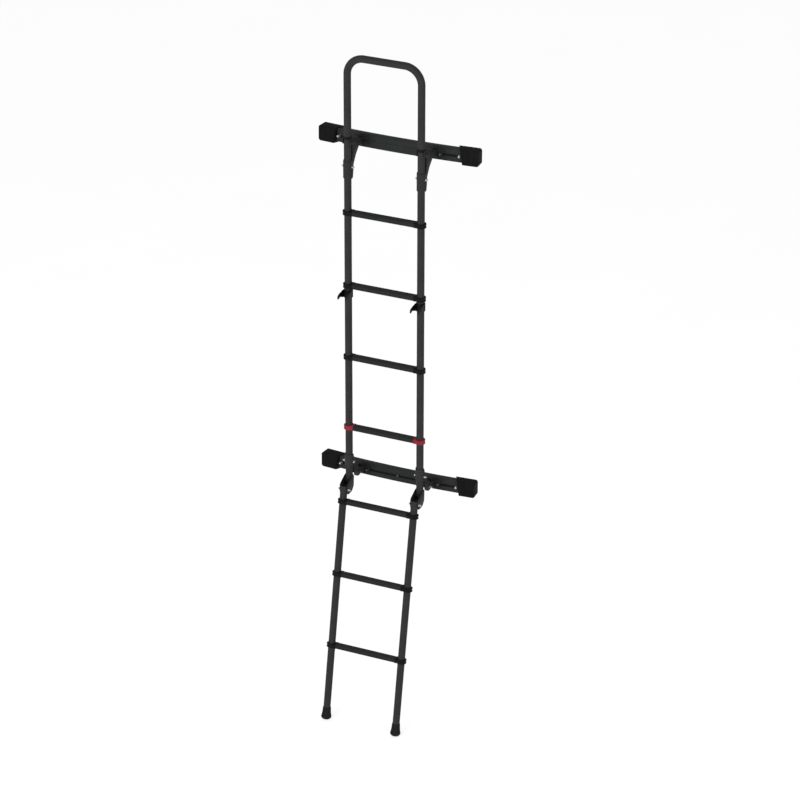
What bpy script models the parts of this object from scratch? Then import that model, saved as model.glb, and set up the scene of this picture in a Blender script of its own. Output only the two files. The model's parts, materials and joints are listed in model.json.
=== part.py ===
"""Folding rear-door ladder: fixed upper section, fold-up lower section, two bowed crossbeams.

Axes: +X along the rungs, +Y towards the vehicle door, +Z up. Metres.
Origin: middle of the upper crossbeam's rear face.
"""
import math

import bmesh
import bpy
from mathutils import Matrix, Vector

# Driving dimensions
STILE_SPACING = 0.300        # stile axis to stile axis
TUBE_RADIUS = 0.014
TUBE_WALL = 0.002
RUNG_PITCH = 0.295
BEAM_SPACING = 1.3615        # upper beam to lower beam
BEAM_HEIGHT = 0.055
BEAM_DEPTH = 0.022
BEAM_HALF_LENGTH = 0.300
BEAM_BOW_RADIUS = 3.3        # the beams follow the curve of the door
STANDOFF = 0.113             # stile axis to beam front, at the middle
TILT = math.radians(10.36)   # lower section leans outwards by this much
FIT_GAP = 0.0003             # clearance between pieces that touch
MERGE = 0.001                # how far solids run into each other before they are joined
CUT_MARGIN = 0.010           # how far cutters run past the faces they cut

# Derived places
HALF_SPACING = STILE_SPACING / 2
STILE_Y = -(BEAM_DEPTH + STANDOFF)
TOP_RUNG_Z = -0.248
HOOP_TOP_Z = 0.363
HOOP_CORNER_RADIUS = 0.061
HOOP_JOINT_Z = 0.049
SPIGOT_LENGTH = 0.040
SPIGOT_SEAT_HEIGHT = 0.006
STILE_FOOT_Z = -1.353
PIVOT_Z = -1.381
PIVOT_OUT = 0.048            # pivot axis in front of the upper stile axis
LOWER_BEAM_Z = -BEAM_SPACING
COUPLER_BOLT_Z = 0.037
UPPER_STILE_BOLT_Z = -0.065
LOWER_STILE_BOLT_Z = -1.281
ARM_PIVOT = (0.052, -1.348)  # Y from the stile axis, and Z

# Lower section, measured down the tilted stile from the pivot
LOWER_TUBE_TOP = -0.014
FIRST_LOWER_RUNG = 0.0476
LOWER_LENGTH = 0.9476
FOOT_HEIGHT = 0.050
FOOT_BASE = 0.012

# Rungs and collars
RUNG_HEIGHT = 0.019
RUNG_DEPTH = 0.0315
RUNG_CORNER = 0.006
RUNG_WALL = 0.0018
COLLAR_RADIUS = 0.0202
COLLAR_HEIGHT = 0.020
SOCKET_WALL = 0.0022
SOCKET_REACH = 0.0255        # socket mouth, from the stile axis
RUNG_END = 0.0182            # rung end, from the stile axis

# Plates and bolts
PLATE_GAP = 0.0004           # a cheek plate stands this far off the tube
CHEEK_INNER = TUBE_RADIUS + PLATE_GAP
CHEEK_THICKNESS = 0.003
CHEEK_OUTER = CHEEK_INNER + CHEEK_THICKNESS
BOLT_RADIUS = 0.0039
BOLT_HOLE_RADIUS = 0.0044
BOLT_HOLE_REACH = 0.030
BOLT_HEAD_RADIUS = 0.0067
BOLT_HEAD_HEIGHT = 0.0050
BOLT_HEAD_BEVEL = 0.0015
FLANGE_HALF_WIDTH = 0.033
FLANGE_HALF_HEIGHT = 0.0165
FLANGE_BOLT_OFFSET = 0.0215

# T-slot along the front of each beam, and the bolts that ride in it
SLOT_Z = -0.0025             # slot axis, from the middle of the beam
SLOT_MOUTH = 0.009
SLOT_LIP = 0.0025
SLOT_CHANNEL_HEIGHT = 0.017
SLOT_CHANNEL_DEPTH = 0.008
BEAM_WALL = 0.0028
T_HEAD_RADIUS = 0.0076
T_HEAD_HEIGHT = 0.0045
T_HEAD_GAP = 0.0008
WASHER_RADIUS = 0.0060
WASHER_THICKNESS = 0.0014
CAP_NUT_RADIUS = 0.0056
CAP_NUT_SKIRT = 0.0045
CAP_NUT_HEIGHT = 0.0075

# End pads
PAD_X = 0.290
PAD_BOLT_X = 0.2465
PAD_HALF_HEIGHT = 0.031
PAD_FRONT = 0.025            # beam centre to pad front
PAD_BACK = 0.017             # beam centre to pad back
PAD_OUTER = 0.036
PAD_INNER_FRONT = -0.0287
PAD_INNER_BACK = -0.050
PAD_CORNER = 0.012
PAD_SIDE_GAP = 0.0010        # beam to cavity, front and back
PAD_TOP_GAP = 0.0006         # beam to cavity, above and below
PAD_CAVITY_END = 0.022
TONGUE_REACH = 0.0106        # tongue from the front of the mouth to its tip
TONGUE_ROOT = 0.0050
TONGUE_HALF_HEIGHT = 0.006
TONGUE_THICKNESS = 0.0020

# Fold hinges
BRIDGE_FRONT = 0.010
BRIDGE_BACK = 0.003
BRIDGE_HEIGHT = 0.012
PLUG_HEIGHT = 0.036
STOP_THICKNESS = 0.004
STOP_TOP = -0.0128           # along the lower stile, from the pivot
STOP_BOTTOM = -0.0200

# Stowing clips
CLIP_TOP_Z = -0.560
CLIP_BOTTOM_Z = -0.591
CLIP_RING_RADIUS = 0.0178
JAW_THICKNESS = 0.0034

TUBE_SEGMENTS = 20
BOLT_SEGMENTS = 10
BEAM_SEGMENTS = 11
CENTRE_FACET = BEAM_HALF_LENGTH / BEAM_SEGMENTS

MATERIALS = {
    "charcoal_tube": ((0.040, 0.040, 0.042), 0.45, 0.6),
    "charcoal_rung": ((0.045, 0.046, 0.047), 0.50, 0.5),
    "charcoal_beam": ((0.032, 0.036, 0.035), 0.50, 0.5),
    "black_plastic": ((0.012, 0.012, 0.012), 0.55, 0.0),
    "red_plastic": ((0.420, 0.020, 0.035), 0.45, 0.0),
    "black_rubber": ((0.010, 0.010, 0.010), 0.80, 0.0),
    "black_steel": ((0.020, 0.020, 0.021), 0.45, 0.7),
    "zinc_steel": ((0.620, 0.620, 0.610), 0.30, 1.0),
}


# ---------------------------------------------------------------- scene helpers
def clear_scene():
    for old in list(bpy.data.objects):
        bpy.data.objects.remove(old, do_unlink=True)


def new_collection(name):
    collection = bpy.data.collections.new(name)
    bpy.context.scene.collection.children.link(collection)
    return collection


def make_material(name):
    colour, roughness, metallic = MATERIALS[name]
    material = bpy.data.materials.new(name)
    material.use_nodes = True
    shader = material.node_tree.nodes["Principled BSDF"]
    shader.inputs["Base Color"].default_value = (*colour, 1.0)
    shader.inputs["Roughness"].default_value = roughness
    shader.inputs["Metallic"].default_value = metallic
    return material


def mesh_from(bm, name):
    bmesh.ops.recalc_face_normals(bm, faces=bm.faces)
    mesh = bpy.data.meshes.new(name)
    bm.to_mesh(mesh)
    bm.free()
    return mesh


def add_part(name, mesh, material, location=(0, 0, 0), rotation=(0, 0, 0), parent=None):
    part = bpy.data.objects.new(name, mesh)
    part.location = location
    part.rotation_euler = rotation
    part.parent = parent
    if not mesh.materials:
        mesh.materials.append(materials[material])
    mesh.shade_smooth()
    mesh.set_sharp_from_angle(angle=math.radians(35))
    parts.objects.link(part)
    return part


def boolean(part, tool, operation):
    modifier = part.modifiers.new(operation.lower(), "BOOLEAN")
    modifier.operation = operation
    modifier.object = tool
    modifier.solver = "EXACT"


# ---------------------------------------------------------------- shape helpers
def box_mesh(name, low, high):
    low = Vector(low)
    high = Vector(high)
    bm = bmesh.new()
    bmesh.ops.create_cube(bm, size=1.0)
    size = high - low
    bmesh.ops.scale(bm, vec=size, verts=bm.verts)
    bmesh.ops.translate(bm, vec=(low + high) / 2, verts=bm.verts)
    return mesh_from(bm, name)


def rod_mesh(name, radius, low, high, segments=TUBE_SEGMENTS):
    """Solid rod along Z from low to high."""
    bm = bmesh.new()
    bmesh.ops.create_cone(bm, cap_ends=True, segments=segments, radius1=radius, radius2=radius,
                          depth=high - low, matrix=Matrix.Translation((0, 0, (low + high) / 2)))
    return mesh_from(bm, name)


def turned_mesh(name, profile, segments, closed):
    """Body of revolution about Z from (radius, height) points."""
    bm = bmesh.new()
    verts = [bm.verts.new((radius, 0, height)) for radius, height in profile]
    pairs = list(zip(verts, verts[1:]))
    if closed:
        pairs.append((verts[-1], verts[0]))
    edges = [bm.edges.new(pair) for pair in pairs]
    bmesh.ops.spin(bm, geom=verts + edges, axis=(0, 0, 1), cent=(0, 0, 0),
                   angle=2 * math.pi, steps=segments)
    bmesh.ops.remove_doubles(bm, verts=bm.verts, dist=1e-6)
    return mesh_from(bm, name)


def tube_mesh(name, low, high, radius=TUBE_RADIUS, wall=TUBE_WALL):
    profile = [(radius, low), (radius, high), (radius - wall, high), (radius - wall, low)]
    return turned_mesh(name, profile, TUBE_SEGMENTS, closed=True)


def outline_mesh(name, outlines, low, high):
    """Flat outlines in the YZ plane, the later ones holes, made solid from X low to X high."""
    curve = bpy.data.curves.new(name, "CURVE")
    curve.dimensions = "2D"
    curve.fill_mode = "BOTH"
    curve.extrude = (high - low) / 2
    for outline in outlines:
        spline = curve.splines.new("POLY")
        spline.points.add(len(outline) - 1)
        for point, (y, z) in zip(spline.points, outline):
            point.co = (y, z, 0, 1)
        spline.use_cyclic_u = True
    helper = bpy.data.objects.new(name, curve)
    bpy.context.scene.collection.objects.link(helper)
    evaluated = helper.evaluated_get(bpy.context.evaluated_depsgraph_get())
    flat = bpy.data.meshes.new_from_object(evaluated)
    bpy.data.objects.remove(helper)
    bm = bmesh.new()
    bm.from_mesh(flat)
    bmesh.ops.remove_doubles(bm, verts=bm.verts, dist=1e-6)
    # Curve X becomes Y, curve Y becomes Z and the extrusion becomes X.
    turn = Matrix(((0, 0, 1, (low + high) / 2), (1, 0, 0, 0), (0, 1, 0, 0), (0, 0, 0, 1)))
    bm.transform(turn)
    return mesh_from(bm, name)


def rectangle(low_y, low_z, high_y, high_z):
    return [(low_y, low_z), (high_y, low_z), (high_y, high_z), (low_y, high_z)]


def joined_mesh(name, meshes):
    """Union of overlapping meshes as one closed mesh."""
    tools = [bpy.data.objects.new(name, mesh) for mesh in meshes]
    for tool in tools:
        bpy.context.scene.collection.objects.link(tool)
    for tool in tools[1:]:
        boolean(tools[0], tool, "UNION")
    evaluated = tools[0].evaluated_get(bpy.context.evaluated_depsgraph_get())
    result = bpy.data.meshes.new_from_object(evaluated)
    for tool in tools:
        bpy.data.objects.remove(tool)
    return result


def cut_mesh(name, mesh, cutter_meshes):
    """Mesh with the cutter meshes taken away."""
    body = bpy.data.objects.new(name, mesh)
    tools = [bpy.data.objects.new(name, cutter) for cutter in cutter_meshes]
    for tool in [body] + tools:
        bpy.context.scene.collection.objects.link(tool)
    for tool in tools:
        boolean(body, tool, "DIFFERENCE")
    evaluated = body.evaluated_get(bpy.context.evaluated_depsgraph_get())
    result = bpy.data.meshes.new_from_object(evaluated)
    for tool in [body] + tools:
        bpy.data.objects.remove(tool)
    return result


def moved(mesh, matrix):
    copy = mesh.copy()
    copy.transform(matrix)
    return copy


def across(mesh, y=0.0, z=0.0):
    """The mesh, made along Z, laid along X at (y, z)."""
    return moved(mesh, Matrix.Translation((0, y, z)) @ Matrix.Rotation(math.pi / 2, 4, "Y"))


def bolt_hole_mesh():
    return rod_mesh("bolt_hole", BOLT_HOLE_RADIUS, -BOLT_HOLE_REACH, BOLT_HOLE_REACH, BOLT_SEGMENTS)


# ---------------------------------------------------------------- beam geometry
def beam_sag(x):
    """How far the bowed beam lies back of its middle facet at x."""
    return (x * x - CENTRE_FACET * CENTRE_FACET) / (2 * BEAM_BOW_RADIUS)


def beam_angle(x):
    return math.atan2(x, BEAM_BOW_RADIUS)


def beam_point(x, z):
    """Middle of the beam's section at x."""
    return (x, beam_sag(x) - BEAM_DEPTH / 2, z)


def beam_mesh():
    """Bowed extrusion: a T-slot along the front and a closed chamber above and below it."""
    half = BEAM_HEIGHT / 2
    front = -BEAM_DEPTH
    lip = front + SLOT_LIP
    floor = lip + SLOT_CHANNEL_DEPTH
    mouth_low = SLOT_Z - SLOT_MOUTH / 2
    mouth_high = SLOT_Z + SLOT_MOUTH / 2
    channel_low = SLOT_Z - SLOT_CHANNEL_HEIGHT / 2
    channel_high = SLOT_Z + SLOT_CHANNEL_HEIGHT / 2
    outline = [(0, -half), (front, -half), (front, mouth_low), (lip, mouth_low), (lip, channel_low),
               (floor, channel_low), (floor, channel_high), (lip, channel_high), (lip, mouth_high),
               (front, mouth_high), (front, half), (0, half)]
    chambers = [rectangle(BEAM_WALL + front, channel_high + BEAM_WALL, -BEAM_WALL, half - BEAM_WALL),
                rectangle(BEAM_WALL + front, BEAM_WALL - half, -BEAM_WALL, channel_low - BEAM_WALL)]
    straight = outline_mesh("beam", [outline] + chambers, -BEAM_HALF_LENGTH, BEAM_HALF_LENGTH)
    bm = bmesh.new()
    bm.from_mesh(straight)
    step = 2 * BEAM_HALF_LENGTH / BEAM_SEGMENTS
    for index in range(1, BEAM_SEGMENTS):
        station = -BEAM_HALF_LENGTH + index * step
        bmesh.ops.bisect_plane(bm, geom=bm.verts[:] + bm.edges[:] + bm.faces[:], dist=1e-7,
                               plane_co=(station, 0, 0), plane_no=(1, 0, 0))
    for vert in bm.verts:
        vert.co.y += beam_sag(vert.co.x)
    return mesh_from(bm, "beam")


def build_beams():
    mesh = beam_mesh()
    add_part("upper_beam", mesh, "charcoal_beam")
    add_part("lower_beam", mesh, "charcoal_beam", location=(0, 0, LOWER_BEAM_Z))


# ---------------------------------------------------------------- upper tubes
def hoop_path():
    """Centreline of the handrail, up one leg, over the top and down the other."""
    reach = HALF_SPACING - HOOP_CORNER_RADIUS
    steps = 5
    path = [(-HALF_SPACING, HOOP_JOINT_Z)]
    for side, start in ((-1, math.pi), (1, math.pi / 2)):
        for index in range(steps + 1):
            angle = start - index * math.pi / 2 / steps
            path.append((side * reach + HOOP_CORNER_RADIUS * math.cos(angle),
                         HOOP_TOP_Z - HOOP_CORNER_RADIUS + HOOP_CORNER_RADIUS * math.sin(angle)))
    path.append((HALF_SPACING, HOOP_JOINT_Z))
    return path


def bent_tube_mesh(name, path, radius):
    curve = bpy.data.curves.new(name, "CURVE")
    curve.dimensions = "3D"
    curve.bevel_depth = radius
    curve.bevel_resolution = (TUBE_SEGMENTS - 4) // 2
    curve.use_fill_caps = True
    spline = curve.splines.new("POLY")
    spline.points.add(len(path) - 1)
    for point, (x, z) in zip(spline.points, path):
        point.co = (x, 0, z, 1)
    helper = bpy.data.objects.new(name, curve)
    bpy.context.scene.collection.objects.link(helper)
    evaluated = helper.evaluated_get(bpy.context.evaluated_depsgraph_get())
    mesh = bpy.data.meshes.new_from_object(evaluated)
    bpy.data.objects.remove(helper)
    bm = bmesh.new()
    bm.from_mesh(mesh)
    bmesh.ops.remove_doubles(bm, verts=bm.verts, dist=1e-6)
    return mesh_from(bm, name)


def build_hoop():
    """Hollow bent rail whose legs end in reduced spigots that slip into the stiles."""
    path = hoop_path()
    below = HOOP_JOINT_Z - CUT_MARGIN
    bore_path = [(path[0][0], below)] + path[1:-1] + [(path[-1][0], below)]
    rail = cut_mesh("rail", bent_tube_mesh("rail", path, TUBE_RADIUS),
                    [bent_tube_mesh("bore", bore_path, TUBE_RADIUS - TUBE_WALL)])
    outer = TUBE_RADIUS - TUBE_WALL - FIT_GAP
    inner = outer - TUBE_WALL
    seat = TUBE_RADIUS - TUBE_WALL / 2
    low = HOOP_JOINT_Z - SPIGOT_LENGTH
    step = HOOP_JOINT_Z + MERGE
    high = step + SPIGOT_SEAT_HEIGHT
    profile = [(outer, low), (outer, step), (seat, step), (seat, high), (inner, high), (inner, low)]
    spigot = turned_mesh("spigot", profile, TUBE_SEGMENTS, closed=True)
    spigots = [moved(spigot, Matrix.Translation((side * HALF_SPACING, 0, 0))) for side in (-1, 1)]
    hoop = joined_mesh("top_hoop", [rail] + spigots)
    hole = across(bolt_hole_mesh(), 0, COUPLER_BOLT_Z)
    holes = [moved(hole, Matrix.Translation((side * HALF_SPACING, 0, 0))) for side in (-1, 1)]
    add_part("top_hoop", cut_mesh("top_hoop", hoop, holes), "charcoal_tube", location=(0, STILE_Y, 0))


def build_upper_stiles():
    tube = tube_mesh("upper_stile", STILE_FOOT_Z, HOOP_JOINT_Z - FIT_GAP)
    heights = (COUPLER_BOLT_Z, UPPER_STILE_BOLT_Z, LOWER_STILE_BOLT_Z)
    mesh = cut_mesh("upper_stile", tube, [across(bolt_hole_mesh(), 0, z) for z in heights])
    for side, word in ((-1, "left"), (1, "right")):
        add_part(f"upper_stile_{word}", mesh, "charcoal_tube", location=(side * HALF_SPACING, STILE_Y, 0))


# ---------------------------------------------------------------- rungs and collars
def rounded_bar_mesh(name, depth, height, low, high, corner):
    """Bar along X with rounded long edges."""
    bm = bmesh.new()
    bmesh.ops.create_cube(bm, size=1.0)
    bmesh.ops.scale(bm, vec=(high - low, depth, height), verts=bm.verts)
    bmesh.ops.translate(bm, vec=((low + high) / 2, 0, 0), verts=bm.verts)
    long_edges = [e for e in bm.edges if abs(e.verts[0].co.x - e.verts[1].co.x) > 1e-6]
    bmesh.ops.bevel(bm, geom=long_edges, offset=corner, segments=2, profile=0.5, affect="EDGES")
    return mesh_from(bm, name)


def rung_mesh():
    half = HALF_SPACING - RUNG_END
    outer = rounded_bar_mesh("rung", RUNG_DEPTH, RUNG_HEIGHT, -half, half, RUNG_CORNER)
    bore = rounded_bar_mesh("rung_bore", RUNG_DEPTH - 2 * RUNG_WALL, RUNG_HEIGHT - 2 * RUNG_WALL,
                            -half - CUT_MARGIN, half + CUT_MARGIN, RUNG_CORNER - RUNG_WALL)
    return cut_mesh("rung", outer, [bore])


def collar_mesh():
    """Ring round the stile with a socket for the rung end, the socket pointing to +X."""
    gap = FIT_GAP
    mouth = SOCKET_REACH
    ring = rod_mesh("ring", COLLAR_RADIUS, -COLLAR_HEIGHT / 2, COLLAR_HEIGHT / 2)
    socket = rounded_bar_mesh("socket", RUNG_DEPTH + 2 * SOCKET_WALL, RUNG_HEIGHT + 2 * SOCKET_WALL,
                              0, mouth, RUNG_CORNER + SOCKET_WALL)
    pocket = rounded_bar_mesh("pocket", RUNG_DEPTH + 2 * gap, RUNG_HEIGHT + 2 * gap,
                              RUNG_END - gap, mouth + CUT_MARGIN, RUNG_CORNER + gap)
    bore = rod_mesh("bore", TUBE_RADIUS + gap, -COLLAR_HEIGHT, COLLAR_HEIGHT)
    return cut_mesh("collar", joined_mesh("collar", [ring, socket]), [bore, pocket])


def build_rungs(rung, collars, numbers, heights, parent, y):
    for number, z in zip(numbers, heights):
        add_part(f"rung_{number}", rung, "charcoal_rung", location=(0, y, z), parent=parent)
        for side, word in ((-1, "left"), (1, "right")):
            turn = 0 if side < 0 else math.pi
            colour = "red_plastic" if number == 4 else "black_plastic"
            add_part(f"rung_{number}_collar_{word}", collars[colour], colour,
                     location=(side * HALF_SPACING, y, z), rotation=(0, 0, turn), parent=parent)


# ---------------------------------------------------------------- bolts
def cross_bolt_mesh():
    """Bolt and nut through both cheeks, along Z."""
    seat = CHEEK_OUTER + FIT_GAP
    top = seat + BOLT_HEAD_HEIGHT
    half = [(0, top), (BOLT_HEAD_RADIUS - BOLT_HEAD_BEVEL, top), (BOLT_HEAD_RADIUS, top - BOLT_HEAD_BEVEL),
            (BOLT_HEAD_RADIUS, seat), (BOLT_RADIUS, seat)]
    profile = half + [(radius, -height) for radius, height in reversed(half)]
    return turned_mesh("cross_bolt", profile, BOLT_SEGMENTS, closed=False)


def slot_bolt_mesh():
    """T-headed bolt with washer and cap nut; +Z points out of the beam's front."""
    head = BEAM_DEPTH / 2 - SLOT_LIP - T_HEAD_GAP
    seat = BEAM_DEPTH / 2 + CHEEK_THICKNESS + 3 * FIT_GAP
    nut = seat + WASHER_THICKNESS
    profile = [(0, head - T_HEAD_HEIGHT), (T_HEAD_RADIUS, head - T_HEAD_HEIGHT), (T_HEAD_RADIUS, head),
               (BOLT_RADIUS, head), (BOLT_RADIUS, seat), (WASHER_RADIUS, seat), (WASHER_RADIUS, nut),
               (CAP_NUT_RADIUS, nut), (CAP_NUT_RADIUS, nut + CAP_NUT_SKIRT),
               (CAP_NUT_RADIUS * 0.6, nut + CAP_NUT_HEIGHT), (0, nut + CAP_NUT_HEIGHT)]
    return turned_mesh("slot_bolt", profile, BOLT_SEGMENTS, closed=False)


def add_cross_bolt(name, mesh, side, y, z):
    add_part(name, mesh, "zinc_steel", location=(side * HALF_SPACING, y, z), rotation=(0, math.pi / 2, 0))


def add_slot_bolt(name, mesh, x, beam_z):
    """The bolt's own +Z is turned to face out of the beam's slot, away from the door."""
    add_part(name, mesh, "zinc_steel", location=beam_point(x, beam_z + SLOT_Z),
             rotation=(math.pi / 2, 0, beam_angle(x)))


# ---------------------------------------------------------------- stile brackets
def mm(points):
    """Outline points written in millimetres, as metres."""
    return [(y / 1000, z / 1000) for y, z in points]


def cheek_pair(name, outline, inner, outer):
    return [outline_mesh(name, [outline], inner, outer), outline_mesh(name, [outline], -outer, -inner)]


def flange_mesh(side, z):
    """Flange plate lying along the bowed beam, in the frame of a stile on that side."""
    x = side * HALF_SPACING
    face = BEAM_DEPTH / 2 + FIT_GAP
    plate = box_mesh("flange", (-FLANGE_HALF_WIDTH, -face - CHEEK_THICKNESS, -FLANGE_HALF_HEIGHT),
                     (FLANGE_HALF_WIDTH, -face, FLANGE_HALF_HEIGHT))
    centre = Vector(beam_point(x, z)) - Vector((x, STILE_Y, 0))
    return moved(plate, Matrix.Translation(centre) @ Matrix.Rotation(beam_angle(x), 4, "Z"))


def flange_hole(side, z, offset):
    x = side * HALF_SPACING + offset
    hole = moved(bolt_hole_mesh(), Matrix.Rotation(math.pi / 2, 4, "X"))
    centre = Vector(beam_point(x, z)) - Vector((side * HALF_SPACING, STILE_Y, 0))
    return moved(hole, Matrix.Translation(centre) @ Matrix.Rotation(beam_angle(x), 4, "Z"))


UPPER_CHEEK = mm([(-2, -109), (-2, -43), (0, -40), (6, -37), (8, -12), (8, 21), (-7, 24), (-10, 28),
                  (-10, 45), (-7, 48), (10, 50), (54, 38), (58, 32), (56, 8), (15, -58), (15, -88),
                  (9, -108), (6, -112), (0, -112)])
UPPER_EAR = mm([(30, 13), (30, 31), (58, 31), (102, 15), (114, 15), (114, -15), (102, -15), (56, 5)])
LOWER_CHEEK = mm([(-2, -1248), (0, -1246), (3, -1246), (9, -1252), (17, -1288), (31, -1307),
                  (54, -1326), (64, -1338), (65, -1355), (58, -1361), (40, -1360), (17, -1347),
                  (9, -1338), (9, -1301), (0, -1299), (-2, -1297)])
LOWER_EAR = mm([(42, -1357), (40, -1348), (44, -1338), (60, -1334), (102, -1345), (114, -1345),
                (114, -1375), (102, -1375), (60, -1359)])
WRAP_OVERLAP = 0.004         # how far a wrap runs along the cheeks
UPPER_WRAP = (-0.110, -0.042)
LOWER_WRAP = (-1.297, -1.248)
UPPER_WEB = mm([(19.2, -50.4), (54.1, 5.7), (51.5, 7.3), (16.7, -48.8)])


def half_circle(radius, steps=10):
    """Points of a half circle round the front of a stile, from +X to -X."""
    angles = [-math.pi * step / steps for step in range(steps + 1)]
    return [(radius * math.cos(angle), radius * math.sin(angle)) for angle in angles]


def wrap_mesh(low, high):
    """U-shaped band round the front of the stile that joins the two cheeks."""
    outer = CHEEK_OUTER - PLATE_GAP / 2
    inner = CHEEK_INNER + PLATE_GAP / 2
    outline = [(outer, WRAP_OVERLAP)] + half_circle(outer) + [(-outer, WRAP_OVERLAP), (-inner, WRAP_OVERLAP)]
    outline += half_circle(inner)[::-1] + [(inner, WRAP_OVERLAP)]
    upright = Matrix(((0, 1, 0, 0), (0, 0, 1, 0), (1, 0, 0, 0), (0, 0, 0, 1)))
    return moved(outline_mesh("wrap", [outline], low, high), upright)


def bracket_mesh(side, beam_z, cheek, ear, wrap, web, bolt_places):
    """One-piece bracket: two cheeks on the stile, narrower ears and a flange on the beam."""
    ear_outer = CHEEK_INNER + PLATE_GAP
    solids = cheek_pair("cheek", cheek, CHEEK_INNER, CHEEK_OUTER)
    solids += cheek_pair("ear", ear, ear_outer - CHEEK_THICKNESS, ear_outer)
    if web:
        solids.append(outline_mesh("web", [web], -CHEEK_INNER - MERGE, CHEEK_INNER + MERGE))
    solids.append(wrap_mesh(*wrap))
    body = joined_mesh("bracket", [flange_mesh(side, beam_z)] + solids)
    holes = [across(bolt_hole_mesh(), y, z) for y, z in bolt_places]
    slot_z = beam_z + SLOT_Z
    holes += [flange_hole(side, slot_z, turn * FLANGE_BOLT_OFFSET) for turn in (-1, 1)]
    return cut_mesh("bracket", body, holes)


def build_brackets(cross_bolt, slot_bolt):
    upper_bolts = [(0, COUPLER_BOLT_Z), (0, UPPER_STILE_BOLT_Z)]
    lower_bolts = [(0, LOWER_STILE_BOLT_Z), ARM_PIVOT]
    for side, word in ((-1, "left"), (1, "right")):
        place = (side * HALF_SPACING, STILE_Y, 0)
        upper = bracket_mesh(side, 0, UPPER_CHEEK, UPPER_EAR, UPPER_WRAP, UPPER_WEB, upper_bolts)
        lower = bracket_mesh(side, LOWER_BEAM_Z, LOWER_CHEEK, LOWER_EAR, LOWER_WRAP, None, lower_bolts)
        add_part(f"upper_bracket_{word}", upper, "black_steel", location=place)
        add_part(f"lower_bracket_{word}", lower, "black_steel", location=place)
        add_cross_bolt(f"hoop_joint_bolt_{word}", cross_bolt, side, STILE_Y, COUPLER_BOLT_Z)
        add_cross_bolt(f"upper_stile_bolt_{word}", cross_bolt, side, STILE_Y, UPPER_STILE_BOLT_Z)
        add_cross_bolt(f"lower_stile_bolt_{word}", cross_bolt, side, STILE_Y, LOWER_STILE_BOLT_Z)
        add_cross_bolt(f"lower_arm_bolt_{word}", cross_bolt, side, STILE_Y + ARM_PIVOT[0], ARM_PIVOT[1])
        x = side * HALF_SPACING + FLANGE_BOLT_OFFSET
        add_slot_bolt(f"upper_clamp_bolt_{word}", slot_bolt, x, 0)
        add_slot_bolt(f"lower_clamp_bolt_{word}", slot_bolt, x, LOWER_BEAM_Z)


# ---------------------------------------------------------------- fold hinges
HINGE_CHEEK = mm([(6, -1337), (-8, -1340), (-44, -1358), (-50, -1365), (-50, -1396), (-45, -1403),
                  (-12, -1401), (4, -1384)])
HINGE_WEB = mm([(4.6, -1355), (3.0, -1383.5), (-12, -1399.5), (-14, -1397.5), (0.2, -1382.5), (1.6, -1355)])


def hinge_mesh():
    """Channel with two cheeks and a back web, a bridge and plug for the upper stile, and a fold stop."""
    solids = cheek_pair("cheek", HINGE_CHEEK, CHEEK_INNER, CHEEK_OUTER)
    reach = CHEEK_INNER + MERGE
    solids.append(outline_mesh("web", [HINGE_WEB], -reach, reach))
    bridge_top = STILE_FOOT_Z - FIT_GAP
    bridge = box_mesh("bridge", (-reach, -BRIDGE_FRONT, bridge_top - BRIDGE_HEIGHT),
                      (reach, BRIDGE_BACK, bridge_top))
    plug_radius = TUBE_RADIUS - TUBE_WALL - FIT_GAP
    plug = rod_mesh("plug", plug_radius, bridge_top - MERGE, bridge_top + PLUG_HEIGHT)
    stop_front = TUBE_RADIUS + FIT_GAP
    stop = box_mesh("stop", (-reach, stop_front, STOP_BOTTOM),
                    (reach, stop_front + STOP_THICKNESS, STOP_TOP))
    lean = Matrix.Translation((0, -PIVOT_OUT, PIVOT_Z)) @ Matrix.Rotation(-TILT, 4, "X")
    body = joined_mesh("hinge", [bridge, plug, moved(stop, lean)] + solids)
    return cut_mesh("hinge", body, [across(bolt_hole_mesh(), -PIVOT_OUT, PIVOT_Z)])


def build_hinges(cross_bolt):
    mesh = hinge_mesh()
    for side, word in ((-1, "left"), (1, "right")):
        add_part(f"hinge_bracket_{word}", mesh, "black_steel", location=(side * HALF_SPACING, STILE_Y, 0))
        add_cross_bolt(f"hinge_bolt_{word}", cross_bolt, side, STILE_Y - PIVOT_OUT, PIVOT_Z)


# ---------------------------------------------------------------- stowing clips
CLIP_JAW = mm([(-8, -560), (-30, -565), (-50, -569), (-58, -575), (-60, -589), (-55, -588), (-44, -582),
               (-26, -586), (-12, -591), (-6, -591)])


def build_clips():
    """Ring on the upper stile with two jaws that hold the folded lower stile."""
    ring = rod_mesh("ring", CLIP_RING_RADIUS, CLIP_BOTTOM_Z, CLIP_TOP_Z)
    jaw_inner = TUBE_RADIUS + 2 * FIT_GAP
    jaws = cheek_pair("jaw", CLIP_JAW, jaw_inner, jaw_inner + JAW_THICKNESS)
    bore = rod_mesh("bore", TUBE_RADIUS + FIT_GAP, CLIP_BOTTOM_Z - CUT_MARGIN, CLIP_TOP_Z + CUT_MARGIN)
    mesh = cut_mesh("clip", joined_mesh("clip", [ring] + jaws), [bore])
    for side, word in ((-1, "left"), (1, "right")):
        add_part(f"stow_clip_{word}", mesh, "black_plastic", location=(side * HALF_SPACING, STILE_Y, 0))


# ---------------------------------------------------------------- lower section
def foot_mesh():
    """Flared rubber foot with a blind socket; the base is at height 0."""
    bore = TUBE_RADIUS + FIT_GAP
    outside = [(0, 0), (0.0150, 0), (0.0180, 0.0035), (0.0193, 0.0095), (0.0175, 0.0260),
               (0.0160, FOOT_HEIGHT - 0.001), (0.0152, FOOT_HEIGHT)]
    socket = [(bore, FOOT_HEIGHT), (bore, FOOT_BASE - FIT_GAP), (0, FOOT_BASE - FIT_GAP)]
    return turned_mesh("foot", outside + socket, TUBE_SEGMENTS, closed=False)


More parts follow.
